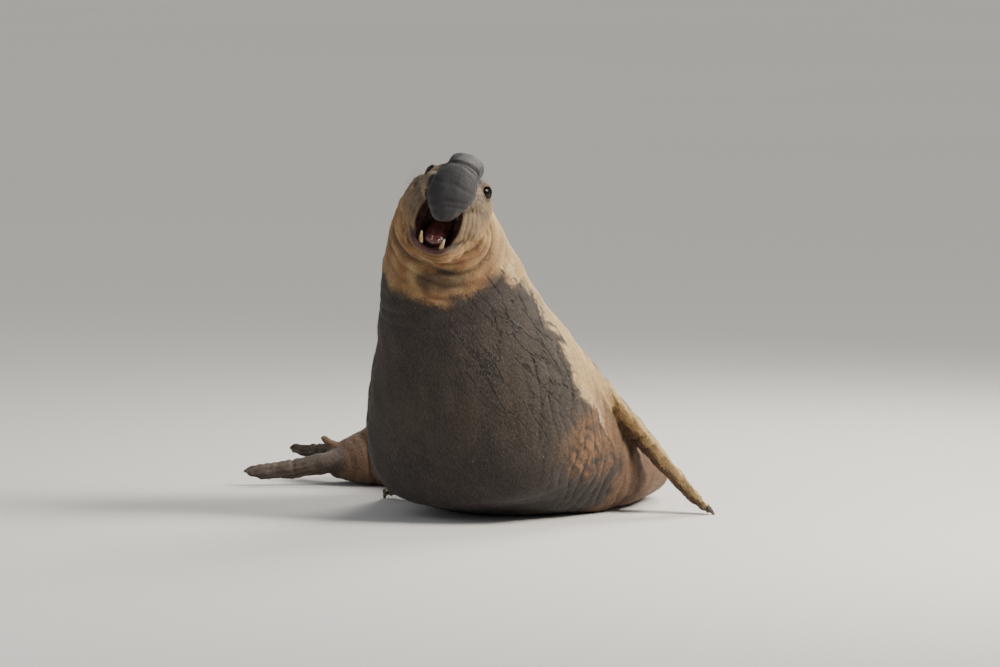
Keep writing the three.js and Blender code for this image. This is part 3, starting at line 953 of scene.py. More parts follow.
@dataclass(frozen=True)
class HideFinish:
    """The skin: short fur, cracked hide on the chest, bare leather on the nose, wet flesh in the mouth, and
    painted shade in its deep folds.
    """

    name: str = "hide"

    def build(self) -> bpy.types.Material:
        """Makes the material.

        Returns:
            The material.
        """
        g = Graph(self.name)
        nose = g.attribute("nose")
        mouth = g.attribute("mouth")
        fold = g.attribute("fold")
        coarse = g.noise(9.0, 5.0)
        specks = g.noise(70.0, 3.0, 0.7)
        fleck = g.noise(46.0, 5.0, 0.75)
        paint = g.attribute("paint", "Color")
        paint = g.mix(g.ramp(coarse, 0.30, 0.72), g.mix(0.35, paint, linear("3c2c20"), "MULTIPLY"), paint)
        paint = g.mix(g.ramp(specks, 0.50, 0.75, 0.0, 0.35), paint, linear("2c211a"))
        # Pale flecks of dead coat, thickest along the border of the shield
        flecks = g.ramp(g.maths("ADD", g.maths("MULTIPLY", g.attribute("fleck"), 0.34), fleck), 0.66, 0.72)
        furred = g.maths("SUBTRACT", 1.0, g.maths("MAXIMUM", nose, mouth), True)
        flecks = g.maths("MULTIPLY", flecks, furred)
        paint = g.mix(g.maths("MULTIPLY", flecks, 0.7), paint, linear("c4ad82"))
        # Dark pits and scuffs on the face and the nose
        face = g.attribute("face")
        pits = g.node("ShaderNodeTexVoronoi", feature="F1")
        g.feed(pits.inputs["Vector"], g.place)
        pits.inputs["Scale"].default_value = 62.0
        dots = g.ramp(pits.outputs["Distance"], 0.14, 0.26, 1.0, 0.0)
        dots = g.maths("MULTIPLY", dots, g.ramp(specks, 0.45, 0.6))
        scuffs = g.ramp(g.noise(31.0, 5.0, 0.7), 0.50, 0.66)
        paint = g.mix(g.maths("MULTIPLY", g.maths("MULTIPLY", dots, face), 0.75), paint, linear("231b17"))
        paint = g.mix(g.maths("MULTIPLY", g.maths("MULTIPLY", scuffs, face), 0.45), paint, linear("3a2e26"))
        cracks = self.cracks(g)
        deep = g.maths("MULTIPLY", cracks, g.attribute("scars"))
        paint = g.mix(g.maths("MULTIPLY", deep, 0.85), paint, linear("1c1715"))
        # Painted shade: darkens the hide in the bed of each deep fold
        paint = g.mix(g.maths("MULTIPLY", fold, 0.6), paint, linear("2a1f19"))
        g.feed(g.shader.inputs["Base Color"], paint)
        dry = g.ramp(coarse, 0.3, 0.7, 0.62, 0.85)
        rough = g.mix(nose, (0.80, 0.80, 0.80), (0.56, 0.56, 0.56))
        wet = g.mix(mouth, rough, (0.26, 0.26, 0.26))
        g.feed(g.shader.inputs["Roughness"], g.maths("MULTIPLY", wet, g.ramp(dry, 0.5, 0.9, 0.9, 1.05)))
        g.shader.inputs["Specular IOR Level"].default_value = 0.28
        g.shader.inputs["Sheen Weight"].default_value = 0.05
        g.shader.inputs["Sheen Roughness"].default_value = 0.5
        g.bump(g.maths("SUBTRACT", 1.0, deep), 0.012, 1.0)
        g.bump(g.noise(26.0, 6.0, 0.6), 0.006, 0.55)
        g.bump(self.leather(g), 0.0022, 0.6)
        g.bump(g.noise(1.0, 3.0, 0.6, g.stretch((0, 24, 0), (0.0026, 0.0026, 0.011))), 0.0012, 0.5)
        return g.material

    @staticmethod
    def cracks(g: Graph) -> bpy.types.NodeSocket:
        """Draws long branching cracks that run down across the chest.

        Args:
            g: The material's graph.

        Returns:
            1 in a crack and 0 between.
        """
        where = g.stretch((0, 52, 0), (0.36, 0.16, 0.060))
        shake = g.node("ShaderNodeTexNoise")
        g.feed(shake.inputs["Vector"], where)
        shake.inputs["Scale"].default_value = 1.3
        shake.inputs["Detail"].default_value = 4.0
        moved = g.node("ShaderNodeVectorMath", operation="MULTIPLY_ADD")
        g.feed(moved.inputs[0], shake.outputs["Color"])
        moved.inputs[1].default_value = (0.7, 0.7, 0.9)
        g.feed(moved.inputs[2], where)
        cells = g.node("ShaderNodeTexVoronoi", feature="DISTANCE_TO_EDGE")
        g.feed(cells.inputs["Vector"], moved.outputs[0])
        cells.inputs["Scale"].default_value = 1.0
        line = g.ramp(cells.outputs["Distance"], 0.02, 0.085, 1.0, 0.0)
        patchy = g.ramp(g.noise(4.2, 3.0), 0.40, 0.52)
        return g.maths("MULTIPLY", line, patchy)

    @staticmethod
    def leather(g: Graph) -> bpy.types.NodeSocket:
        """Draws the fine net of wrinkles of bare hide.

        Args:
            g: The material's graph.

        Returns:
            The net's height.
        """
        cells = g.node("ShaderNodeTexVoronoi", feature="DISTANCE_TO_EDGE")
        g.feed(cells.inputs["Vector"], g.place)
        cells.inputs["Scale"].default_value = 95.0
        return g.ramp(cells.outputs["Distance"], 0.0, 0.22)


@dataclass(frozen=True)
class CoatFinish:
    """The short hair of the coat, in the colour of the hide under it."""

    name: str = "coat"

    def build(self) -> bpy.types.Material:
        """Makes the material.

        Returns:
            The material.
        """
        g = Graph(self.name)
        paint = g.attribute("paint", "Color")
        streak = g.noise(240.0, 2.0)
        pale = g.mix(1.0, paint, (1.45, 1.42, 1.35), "MULTIPLY")
        g.feed(g.shader.inputs["Base Color"], g.mix(g.ramp(streak, 0.3, 0.7), paint, pale))
        g.shader.inputs["Roughness"].default_value = 0.72
        g.shader.inputs["Sheen Weight"].default_value = 0.15
        return g.material


@dataclass(frozen=True)
class PlainFinish:
    """A finish of one colour with a mottled tint, for the small parts.

    Attributes:
        name: The material's name.
        colour: Its main colour.
        tint: The colour of its mottling.
        scale: The mottling's scale.
        rough: Its roughness.
        coat: How much clear wet coat lies on it.
        relief: The height of its bumps in metres.
        shine: How strongly it mirrors.
    """

    name: str
    colour: str
    tint: str
    scale: float
    rough: float
    coat: float
    relief: float
    shine: float = 0.5

    def build(self) -> bpy.types.Material:
        """Makes the material.

        Returns:
            The material.
        """
        g = Graph(self.name)
        cloud = g.noise(self.scale, 5.0, 0.6)
        mottled = g.mix(g.ramp(cloud, 0.35, 0.7), linear(self.colour), linear(self.tint))
        g.feed(g.shader.inputs["Base Color"], mottled)
        g.feed(g.shader.inputs["Roughness"], g.ramp(cloud, 0.3, 0.7, self.rough * 0.85, self.rough * 1.15))
        g.shader.inputs["Specular IOR Level"].default_value = self.shine
        g.shader.inputs["Coat Weight"].default_value = self.coat
        g.shader.inputs["Coat Roughness"].default_value = 0.08
        if self.relief:
            g.bump(g.noise(self.scale * 3.0, 4.0), self.relief, 0.5)
        return g.material


EYE_FINISH = PlainFinish("eye_wet", "050404", "0d0806", 60.0, 0.16, 0.0, 0.0, 0.16)
TOOTH_FINISH = PlainFinish("ivory", "cdbb8c", "8f7444", 45.0, 0.32, 0.3, 0.0006)
# The tongue's colours are darkened as painted shade for the inside of the mouth
TONGUE_FINISH = PlainFinish("tongue_wet", "5a2f2c", "3c1e1c", 38.0, 0.3, 0.6, 0.0016)
HORN_FINISH = PlainFinish("horn", "2b2420", "56483c", 70.0, 0.4, 0.1, 0.0008)
WHISKER_FINISH = PlainFinish("whisker", "2e2622", "54483c", 30.0, 0.45, 0.1, 0.0)


def clear_selection() -> None:
    """Deselects everything, so that the next operator meets only what it should."""
    if bpy.context.object and bpy.context.object.mode != "OBJECT":
        bpy.ops.object.mode_set(mode="OBJECT")
    bpy.ops.object.select_all(action="DESELECT")


def only(target: bpy.types.Object) -> None:
    """Selects one object and makes it active.

    Args:
        target: The object.
    """
    clear_selection()
    target.select_set(True)
    bpy.context.view_layer.objects.active = target


def bake(target: bpy.types.Object, kind: str, **settings: object) -> None:
    """Adds a modifier to an object and applies it.

    Args:
        target: The object.
        kind: The modifier's type.
        **settings: The modifier's properties.
    """
    only(target)
    made = target.modifiers.new("step", kind)
    for key, value in settings.items():
        setattr(made, key, value)
    bpy.ops.object.modifier_apply(modifier=made.name)


def settle(target: bpy.types.Object) -> None:
    """Puts an object's place into its mesh and smooths its shading.

    Args:
        target: The object.
    """
    only(target)
    bpy.ops.object.transform_apply(location=True, rotation=True, scale=True)
    bpy.ops.object.shade_smooth()


def copy_nodes(nodes: tuple[str, ...], name: str, frame: dict) -> bpy.types.Object:
    """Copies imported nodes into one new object, with their shared vertices merged.

    Args:
        nodes: The nodes to copy.
        name: The new object's name.
        frame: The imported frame.

    Returns:
        The new object.
    """
    copies = []
    for node in nodes:
        twin = bpy.data.objects.new(name, frame["nodes"][node].data.copy())
        bpy.context.scene.collection.objects.link(twin)
        copies.append(twin)
    clear_selection()
    for twin in copies:
        twin.select_set(True)
    bpy.context.view_layer.objects.active = copies[0]
    if len(copies) > 1:
        bpy.ops.object.join()
    whole = bpy.context.view_layer.objects.active
    whole.name = name
    whole.data.name = name
    whole.data.materials.clear()
    only(whole)
    bpy.ops.object.mode_set(mode="EDIT")
    bpy.ops.mesh.select_all(action="SELECT")
    bpy.ops.mesh.remove_doubles(threshold=0.00002)
    bpy.ops.object.mode_set(mode="OBJECT")
    return whole


def tree_of(mesh: bpy.types.Mesh) -> BVHTree:
    """Makes a search tree of a mesh."""
    return BVHTree.FromPolygons([v.co for v in mesh.vertices], [tuple(p.vertices) for p in mesh.polygons])


def triangles_of(mesh: bpy.types.Mesh) -> int:
    """Counts a mesh's triangles."""
    return sum(len(p.vertices) - 2 for p in mesh.polygons)


def places(mesh: bpy.types.Mesh) -> np.ndarray:
    """Reads a mesh's vertices.

    Args:
        mesh: The mesh.

    Returns:
        Their places, one row each.
    """
    flat = np.empty(len(mesh.vertices) * 3)
    mesh.vertices.foreach_get("co", flat)
    return flat.reshape(-1, 3)


def normals(mesh: bpy.types.Mesh) -> np.ndarray:
    """Reads a mesh's vertex normals.

    Args:
        mesh: The mesh.

    Returns:
        The normals, one row each.
    """
    flat = np.empty(len(mesh.vertices) * 3, dtype=np.float32)
    mesh.vertex_normals.foreach_get("vector", flat)
    return flat.reshape(-1, 3).astype(float)


def write_places(mesh: bpy.types.Mesh, points: np.ndarray) -> None:
    """Moves a mesh's vertices."""
    mesh.vertices.foreach_set("co", points.ravel())
    mesh.update()


def store(mesh: bpy.types.Mesh, name: str, values: np.ndarray) -> None:
    """Keeps a value or a colour for each vertex under a name that materials read.

    Args:
        mesh: The mesh.
        name: The attribute's name.
        values: One number or one colour for each vertex.
    """
    if values.ndim == 1:
        mesh.attributes.new(name, "FLOAT", "POINT").data.foreach_set("value", values.astype(np.float32))
        return
    rows = np.ones((len(values), 4), dtype=np.float32)
    rows[:, :3] = values
    mesh.attributes.new(name, "FLOAT_COLOR", "POINT").data.foreach_set("color", rows.ravel())


def survey_mesh(mesh: bpy.types.Mesh, anatomy: Anatomy, frame: dict) -> Survey:
    """Measures a mesh's vertices against the anatomy.

    Args:
        mesh: The mesh.
        anatomy: The animal's anatomy.
        frame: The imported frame.

    Returns:
        The survey.
    """
    points = places(mesh)
    owner = {}
    for node in ("proboscis", *FLIPPERS):
        low, high = (np.array(corner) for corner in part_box(node))
        strength = np.zeros(len(points))
        tree = tree_of(frame["nodes"][node].data)
        near = np.flatnonzero(((points > low - 0.04) & (points < high + 0.04)).all(1))
        for i in near:
            strength[i] = tree.find_nearest(Vector(points[i]))[3]
        share = np.zeros(len(points))
        share[near] = 1 - smooth(0.026, 0.037, strength[near])
        owner[node] = share
    return Survey(anatomy, points, normals(mesh), owner)


@dataclass
class Skin:
    """One skin over all the flesh.

    Attributes:
        anatomy: The animal's anatomy.
        frame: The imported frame.
        voxel: The size of the cells that it is remeshed from.
        coat_depth: How far it lies inside the solids, which leaves room for the coat.
        most_triangles: How many triangles it may have.
        plug_radius: The radius of the balls that fill the pits behind the mouth.
        plugs: Where those balls lie on the head's left. Three more mirror them.
        piece: The finished skin, once it is built.
        survey: What is known of its vertices.
    """

    anatomy: Anatomy
    frame: dict
    voxel: float = 0.0068
    coat_depth: float = 0.003
    most_triangles: int = 190_000
    plug_radius: float = 0.046
    plugs: tuple[tuple[float, float, float], ...] = (
        (0.188, 0.130, -0.125), (0.186, 0.172, -0.155), (0.178, 0.215, -0.190),
    )
    piece: bpy.types.Object | None = None
    survey: Survey | None = None

    def build(self) -> bpy.types.Object:
        """Makes the skin.

        Returns:
            The finished piece.
        """
        skin = copy_nodes(FLESH, "skin", self.frame)
        self.plug(skin)
        cell = self.voxel * 1.0
        bake(skin, "REMESH", mode="VOXEL", voxel_size=cell, adaptivity=0.0)
        self.relax(skin.data)
        survey = survey_mesh(skin.data, self.anatomy, self.frame)
        rise = Relief(survey).height() - self.coat_depth
        points = survey.points + normals(skin.data) * rise[:, None]
        points[:, 2] = np.maximum(points[:, 2], 0.001)
        write_places(skin.data, points)
        # How deep each vertex lies in a fold; the material darkens it there as painted shade
        store(skin.data, "fold", smooth(0.003, 0.024, -rise - self.coat_depth))
        self.thin(skin, survey)
        survey = survey_mesh(skin.data, self.anatomy, self.frame)
        hide = Hide(survey)
        store(skin.data, "paint", hide.colour())
        store(skin.data, "scars", hide.scars())
        store(skin.data, "fleck", hide.flecks())
        store(skin.data, "face", survey.face() * (1 - survey.owner["proboscis"]))
        store(skin.data, "nose", survey.owner["proboscis"])
        store(skin.data, "mouth", survey.mouth())
        skin.data.materials.append(HideFinish().build())
        settle(skin)
        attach(skin, BODY)
        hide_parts(*FLESH)
        self.piece, self.survey = skin, survey
        return skin

    def plug(self, skin: bpy.types.Object) -> None:
        """Fills the pits where the cuts of head, jaw and neck meet behind the corners of the mouth.

        Args:
            skin: The joined flesh.
        """
        clear_selection()
        for side in (1, -1):
            for x, y, z in self.plugs:
                spot = self.anatomy.head.world(np.array([(side * x, y, z)]))[0]
                bpy.ops.mesh.primitive_ico_sphere_add(subdivisions=3, radius=self.plug_radius, location=spot)
                bpy.context.object.select_set(True)
                skin.select_set(True)
                bpy.context.view_layer.objects.active = skin
                bpy.ops.object.join()

    def relax(self, mesh: bpy.types.Mesh) -> None:
        """Rounds off the flat faces of the solids, most where they are largest.

        Args:
            mesh: The remeshed skin.
        """
        points = places(mesh)
        edges = np.empty(len(mesh.edges) * 2, dtype=np.int64)
        mesh.edges.foreach_get("vertices", edges)
        one, two = edges.reshape(-1, 2).T
        count = np.bincount(np.concatenate([one, two]), minlength=len(points))[:, None]
        head = self.anatomy.head.local(points)
        near_head = 1 - smooth(0.30, 0.55, np.linalg.norm(head - (0, -0.1, -0.15), axis=1))
        thin = np.zeros(len(points))
        root = np.zeros(len(points))
        for node in ("tail", *FLIPPERS):
            low, high = (np.array(corner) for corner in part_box(node))
            here = ((points > low - 0.01) & (points < high + 0.01)).all(1)
            thin[here] = 1.0
            if node in FLIPPERS:
                share, _ = FLIPPERS[node].measure(points, self.anatomy.offset)
                root = np.maximum(root, here * (1 - smooth(0.10, 0.30, share)))
        passes = 90
        give = np.where(np.maximum(near_head, thin) > 0.5, 0.18, 1.0) * passes
        give = give * (1 - 0.6 * np.clip(near_head, 0, 1))
        corner = np.linalg.norm((np.abs(head) - (0.228, 0.150, 0.125)) / (1, 1.5, 1), axis=1)
        corner = (1 - smooth(0.045, 0.085, corner)) * (head[:, 1] > 0) * (head[:, 2] < 0)
        give = np.maximum.reduce([give, np.full(len(give), 6.0), passes * 1.2 * root, passes * corner])
        size = len(points)
        for step in range(int(give.max()) + 1):
            total = np.stack([
                np.bincount(one, points[two, k], size) + np.bincount(two, points[one, k], size)
                for k in range(3)
            ], 1)
            share = np.clip(give - step, 0, 1)[:, None] * 0.6
            points += share * (total / count - points)
        write_places(mesh, points)

    def thin(self, skin: bpy.types.Object, survey: Survey) -> None:
        """Takes triangles out of the calm parts of the body, so that the head keeps its detail.

        Args:
            skin: The skin.
            survey: What is known of its vertices.
        """
        mesh = skin.data
        triangles = triangles_of(mesh)
        limit = self.most_triangles * 1.0
        if triangles <= limit:
            return
        group = skin.vertex_groups.new(name="calm")
        calm = 1 - smooth(13.0, 15.0, survey.station)
        for level in range(11):
            members = np.flatnonzero(np.round(calm * 10) == level)
            group.add(members.tolist(), level / 10, "REPLACE")
        bake(skin, "DECIMATE", ratio=limit / triangles, vertex_group="calm", vertex_group_factor=4.0)
        skin.vertex_groups.clear()
        LOG.info("skin thinned from %d to %d triangles", triangles, triangles_of(mesh))


@dataclass
class Eyes:
    """Two wet black eyes.

    Attributes:
        anatomy: The animal's anatomy.
        span: How far each eye lies beside the head's middle.
        radius: The radius of each packed eye.
        inset: How far the ball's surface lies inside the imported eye.
    """

    anatomy: Anatomy
    span: float = EYE_SPAN
    radius: float = 0.040
    inset: float = 0.0004

    def build(self) -> list[bpy.types.Object]:
        """Makes both eyes.

        Returns:
            The pieces.
        """
        made = []
        material = EYE_FINISH.build()
        for side, node in ((1, "eye_left"), (-1, "eye_right")):
            clear_selection()
            ball = self.radius - self.inset
            bpy.ops.mesh.primitive_uv_sphere_add(segments=48, ring_count=32, radius=ball)
            eye = bpy.context.object
            eye.name = eye.data.name = node + "_ball"
            eye.location = self.anatomy.head.world(np.array([(side * self.span, -0.002, 0.0)]))[0]
            settle(eye)
            eye.data.materials.append(material)
            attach(eye, BODY)
            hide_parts(node)
            made.append(eye)
        return made


@dataclass
class Teeth:
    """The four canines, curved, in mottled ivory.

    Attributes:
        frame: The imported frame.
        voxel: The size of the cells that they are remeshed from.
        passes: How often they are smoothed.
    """

    frame: dict
    voxel: float = 0.0016
    passes: int = 10

    def build(self) -> list[bpy.types.Object]:
        """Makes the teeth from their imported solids.

        Returns:
            The pieces.
        """
        made = []
        material = TOOTH_FINISH.build()
        for node in TEETH:
            tooth = copy_nodes((node,), node + "_enamel", self.frame)
            bake(tooth, "REMESH", mode="VOXEL", voxel_size=self.voxel)
            bake(tooth, "SMOOTH", factor=0.6, iterations=self.passes)
            settle(tooth)
            tooth.data.materials.append(material)
            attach(tooth, BODY)
            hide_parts(node)
            made.append(tooth)
        return made


@dataclass
class Tongue:
    """The tongue, with a groove down its middle.

    Attributes:
        anatomy: The animal's anatomy.
        frame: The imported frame.
        voxel: The size of the cells that it is remeshed from.
        passes: How often it is smoothed.
        groove_depth: The depth of the groove.
        groove_width: Half the groove's width.
    """

    anatomy: Anatomy
    frame: dict
    voxel: float = 0.0028
    passes: int = 14
    groove_depth: float = 0.006
    groove_width: float = 0.010

    def build(self) -> bpy.types.Object:
        """Makes the tongue.

        Returns:
            The piece.
        """
        tongue = copy_nodes(("tongue",), "tongue_flesh", self.frame)
        bake(tongue, "REMESH", mode="VOXEL", voxel_size=self.voxel)
        bake(tongue, "SMOOTH", factor=0.6, iterations=self.passes)
        points = places(tongue.data)
        local = self.anatomy.jaw.local(points)
        top = smooth(-0.01, 0.012, local[:, 2])
        across = local[:, 0] + 0.002 * ripple(points, 0.06, 4)
        rise = -self.groove_depth * groove(across, 0.0, self.groove_width) * top
        rise += 0.0015 * ripple(points, 0.02, 6) * top
        write_places(tongue.data, points + normals(tongue.data) * rise[:, None])
        settle(tongue)
        tongue.data.materials.append(TONGUE_FINISH.build())
        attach(tongue, BODY)
        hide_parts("tongue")
        return tongue


@dataclass
class Strand:
    """A thin tapering tube.

    Attributes:
        path: Points along it.
        width: Its radius at the root.
    """

    path: np.ndarray
    width: float


def tubes(strands: list[Strand], sides: int, name: str) -> bpy.types.Object:
    """Joins thin tapering tubes into one piece.

    Args:
        strands: The tubes.
        sides: How many sides each has.
        name: The piece's name.

    Returns:
        The piece.
    """
    made = bmesh.new()
    for strand in strands:
        rings = []
        count = len(strand.path)
        heading = np.gradient(strand.path, axis=0)
        for k in range(count - 1):
            ahead = Vector(heading[k]).normalized()
            across = ahead.orthogonal().normalized()
            over = ahead.cross(across)
            radius = strand.width * (1 - 0.85 * k / (count - 1))
            middle = Vector(strand.path[k])
            rings.append([
                made.verts.new(middle + radius * (math.cos(a) * across + math.sin(a) * over))
                for a in (2 * math.pi * step / sides for step in range(sides))
            ])
        tip = made.verts.new(Vector(strand.path[-1]))
        for low, high in zip(rings, rings[1:]):
            for k in range(sides):
                made.faces.new((low[k], low[(k + 1) % sides], high[(k + 1) % sides], high[k]))
        for k in range(sides):
            made.faces.new((rings[-1][k], rings[-1][(k + 1) % sides], tip))
        made.faces.new(rings[0][::-1])
    mesh = bpy.data.meshes.new(name)
    made.to_mesh(mesh)
    made.free()
    piece = bpy.data.objects.new(name, mesh)
    bpy.context.scene.collection.objects.link(piece)
    return piece


@dataclass
class Whiskers:
    """The stiff whiskers of the upper lip, and the few above each eye.

    Attributes:
        anatomy: The animal's anatomy.
        skin: The finished skin.
        width: The radius of each whisker at its root.
        sides: How many sides each whisker has.
        sunk: How deep each root stands in the skin.
    """

    anatomy: Anatomy
    skin: bpy.types.Object
    width: float = 0.0010
    sides: int = 5
    sunk: float = 0.004

    def build(self) -> bpy.types.Object:
        """Makes the whiskers.

        Returns:
            The piece.
        """
        tree = tree_of(self.skin.data)
        chance = np.random.default_rng(7)
        strands = []
        head = self.anatomy.head
        for side in (1, -1):
            spots = [
                (0.172, -0.215 + 0.024 * row, -0.105 - 0.021 * line, 0.085 + 0.04 * chance.random())
                for line in range(4) for row in range(5)
            ]
            spots += [(0.140, -0.03 + 0.014 * row, 0.056, 0.045) for row in range(3)]
            for x, y, z, length in spots:
                start = head.world(np.array([(side * (x + 0.25), y, z)]))[0]
                inward = head.world(np.array([(0.0, y, z)]))[0] - start
                hit = tree.ray_cast(Vector(start), Vector(inward).normalized())
                if hit[0] is None:
                    continue
                root = np.array(hit[0]) - np.array(hit[1]) * self.sunk
                sweep = np.array((0.1 * side, -0.35, -0.15 + 0.2 * chance.random()))
                out = np.array(hit[1]) * 1.1 + head.turn @ sweep
                out /= np.linalg.norm(out)
                droop = np.array((0, 0, -1.0)) * 0.35 * length
                steps = np.linspace(0, 1, 7)[:, None]
                strands.append(Strand(root + out * length * steps + droop * steps ** 2, self.width))
        piece = tubes(strands, self.sides, "whiskers")
        settle(piece)
        piece.data.materials.append(WHISKER_FINISH.build())
        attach(piece, BODY)
        return piece


@dataclass
class Claws:
    """The five claws of each fore flipper.

    Attributes:
        anatomy: The animal's anatomy.
        length: The length of each claw.
        radius: The radius of each claw at its root.
        arch: How high each claw arches.
        sides: How many sides each claw has.
    """

    anatomy: Anatomy
    length: float = 0.062
    radius: float = 0.020
    arch: float = 0.012
    sides: int = 12

    def build(self) -> list[bpy.types.Object]:
        """Makes the claws, one piece for each flipper.

        Returns:
            The pieces.
        """
        made = []
        material = HORN_FINISH.build()
        for name in ("fore_flipper_left", "fore_flipper_right"):
            blade = FLIPPERS[name]
            ahead, across, reach = blade.axes()
            root = self.anatomy.offset + np.array(blade.root)
            steps = np.linspace(-0.15, 1.12, 12)[:, None]
            nail = ahead * self.length * steps + (0, 0, self.arch) * (steps - steps ** 2)
            strands = [
                Strand(root + ahead * share * reach + across * over + nail, self.radius)
                for share, over in CLAWS
            ]
            piece = tubes(strands, self.sides, name + "_claws")
            points = places(piece.data)
            points[:, 2] = np.maximum(points[:, 2], FLOOR_GAP)
            write_places(piece.data, points)
            settle(piece)
            piece.data.materials.append(material)
            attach(piece, BODY)
            made.append(piece)
        return made


@dataclass
class Coat:
    """The short coat, in small tufts that lie along the body.

    Attributes:
        anatomy: The animal's anatomy.
        skin: The finished skin.
        survey: What is known of its vertices.
        tufts_each: How many tufts each piece has.
        sunk: How deep each tuft's root stands in the skin.
        slim: Half the width of a tuft, as a share of its length.
    """

    anatomy: Anatomy
    skin: bpy.types.Object
    survey: Survey
    tufts_each: int = 52_000
    sunk: float = 0.0012
    slim: float = 0.13

    def build(self) -> list[bpy.types.Object]:
        """Makes the coat.

        Returns:
            The pieces.
        """
        mesh = self.skin.data
        mesh.calc_loop_triangles()
        corners = np.empty(len(mesh.loop_triangles) * 3, dtype=np.int64)
        mesh.loop_triangles.foreach_get("vertices", corners)
        corners = corners.reshape(-1, 3)
        points = self.survey.points
        edge = points[corners[:, 1]] - points[corners[:, 0]], points[corners[:, 2]] - points[corners[:, 0]]
        area = np.linalg.norm(np.cross(*edge), axis=1) / 2
        s = self.survey
        bare = np.maximum.reduce([
            s.owner["proboscis"], s.mouth(), 1 - smooth(0.05, 0.075, s.eye_distance()),
            1 - smooth(0.015, 0.04, s.lip_distance()), 1 - smooth(0.004, 0.02, points[:, 2]),
        ])
        grow = (1 - bare)[corners].mean(1)
        paint = np.empty(len(points) * 4, dtype=np.float32)
        mesh.attributes["paint"].data.foreach_get("color", paint)
        paint = paint.reshape(-1, 4)[:, :3]
        station = s.station[corners].mean(1)
        material = CoatFinish().build()
        made = []
        for index, part in enumerate(CoatPart):
            name, low, high = part.value
            chance = np.random.default_rng(100 + index)
            weight = area * grow * ((station >= low) & (station < high))
            picked = chance.choice(len(weight), self.tufts_each, p=weight / weight.sum())
            made.append(self.tufts(name, corners[picked], chance, paint, material))
        return made

    def tufts(
        self,
        name: str,
        corners: np.ndarray,
        chance: np.random.Generator,
        paint: np.ndarray,
        material: bpy.types.Material,
    ) -> bpy.types.Object:
        """Makes one piece of the coat.

        Args:
            name: The piece's name.
            corners: For each tuft, the triangle that it grows from.
            chance: The source of its unevenness.
            paint: The colour of every vertex of the skin.
            material: The coat's material.

        Returns:
            The piece.
        """
        s = self.survey
        axis = self.anatomy.body
        count = len(corners)
        share = chance.dirichlet((1, 1, 1), count)[:, :, None]
        root = (s.points[corners] * share).sum(1)
        normal = (normals(self.skin.data)[corners] * share).sum(1)
        normal /= np.linalg.norm(normal, axis=1, keepdims=True)
        near = axis.nearest(root)
        rear = -axis.tangent[near] + 0.25 * chance.normal(size=(count, 3)) + (0, 0, -0.25)
        lie = rear - normal * (rear * normal).sum(1, keepdims=True)
        lie /= np.linalg.norm(lie, axis=1, keepdims=True)
        side = np.cross(normal, lie)
        station = s.station[corners].mean(1)
        length = np.interp(station, (0, 3, 9, 13, 15, 17), (0.010, 0.014, 0.017, 0.016, 0.009, 0.006))
        length = length[:, None] * chance.uniform(0.7, 1.3, (count, 1))
        width = length * self.slim
        sunk = root - normal * self.sunk
        tip = root + lie * length + normal * (0.10 + 0.16 * chance.random((count, 1))) * length
        ridge = sunk + normal * width * 0.9 + lie * length * 0.25
        verts = np.stack([sunk - side * width, sunk + side * width, ridge, tip], 1).reshape(-1, 3)
        verts[:, 2] = np.maximum(verts[:, 2], FLOOR_GAP)
        base = np.arange(count)[:, None] * 4
        faces = (base[:, :, None] + np.array([[[0, 2, 3], [2, 1, 3], [0, 1, 2]]])).reshape(-1, 3)
        mesh = bpy.data.meshes.new(name)
        mesh.vertices.add(len(verts))
        mesh.vertices.foreach_set("co", verts.ravel())
        mesh.loops.add(len(faces) * 3)
        mesh.loops.foreach_set("vertex_index", faces.ravel().astype(np.int32))
        mesh.polygons.add(len(faces))
        mesh.polygons.foreach_set("loop_start", np.arange(0, len(faces) * 3, 3, dtype=np.int32))
        mesh.update(calc_edges=True)
        tone = (paint[corners] * share).sum(1) * chance.uniform(0.86, 1.16, (count, 1))
        store(mesh, "paint", np.repeat(tone, 4, 0))
        u = (s.angle[corners[:, 0]] + 180) / 360 * 0.97 + 0.01
        v = s.run[corners[:, 0]] / axis.run[-1] * 0.9 + 0.04
        patch = np.array([(-0.0014, 0), (0.0014, 0), (0, 0.0008), (0, -0.0016)])
        spot = np.stack([u, v], 1)[:, None] + patch
        wrap = mesh.uv_layers.new(name="OFBake")
        wrap.data.foreach_set("uv", spot.reshape(-1, 2)[faces.ravel()].astype(np.float32).ravel())
        piece = bpy.data.objects.new(name, mesh)
        bpy.context.scene.collection.objects.link(piece)
        settle(piece)
        mesh.materials.append(material)
        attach(piece, BODY)
        return piece


def toward(azimuth: float, elevation: float) -> Vector:
    """Points away from the animal, by angles in radians round from its front and over the horizon."""
    flat = math.cos(elevation)
    return Vector((math.sin(azimuth) * flat, -math.cos(azimuth) * flat, math.sin(elevation)))


@dataclass(frozen=True)
class Lamp:
    """A square area light that faces the animal.

    Attributes:
        name: Its name.
        azimuth: Degrees round from the animal's front to its left.
        elevation: Degrees over the horizon.
        distance: Its distance from the animal.
        size: The length of its sides.
        power: Its power in watts.
        colour: Its colour.
    """

    name: str
    azimuth: float
    elevation: float
    distance: float
    size: float
    power: float
    colour: tuple[float, float, float]


WARM = (1.0, 0.95, 0.87)
COOL = (0.9, 0.95, 1.0)
LAMPS = (
    Lamp("key", 84, 36, 8.0, 3.4, 900.0, WARM),
    Lamp("fill", -30, 22, 9.0, 6.0, 170.0, COOL),
    Lamp("rim", 165, 42, 8.0, 4.0, 620.0, WARM),
)


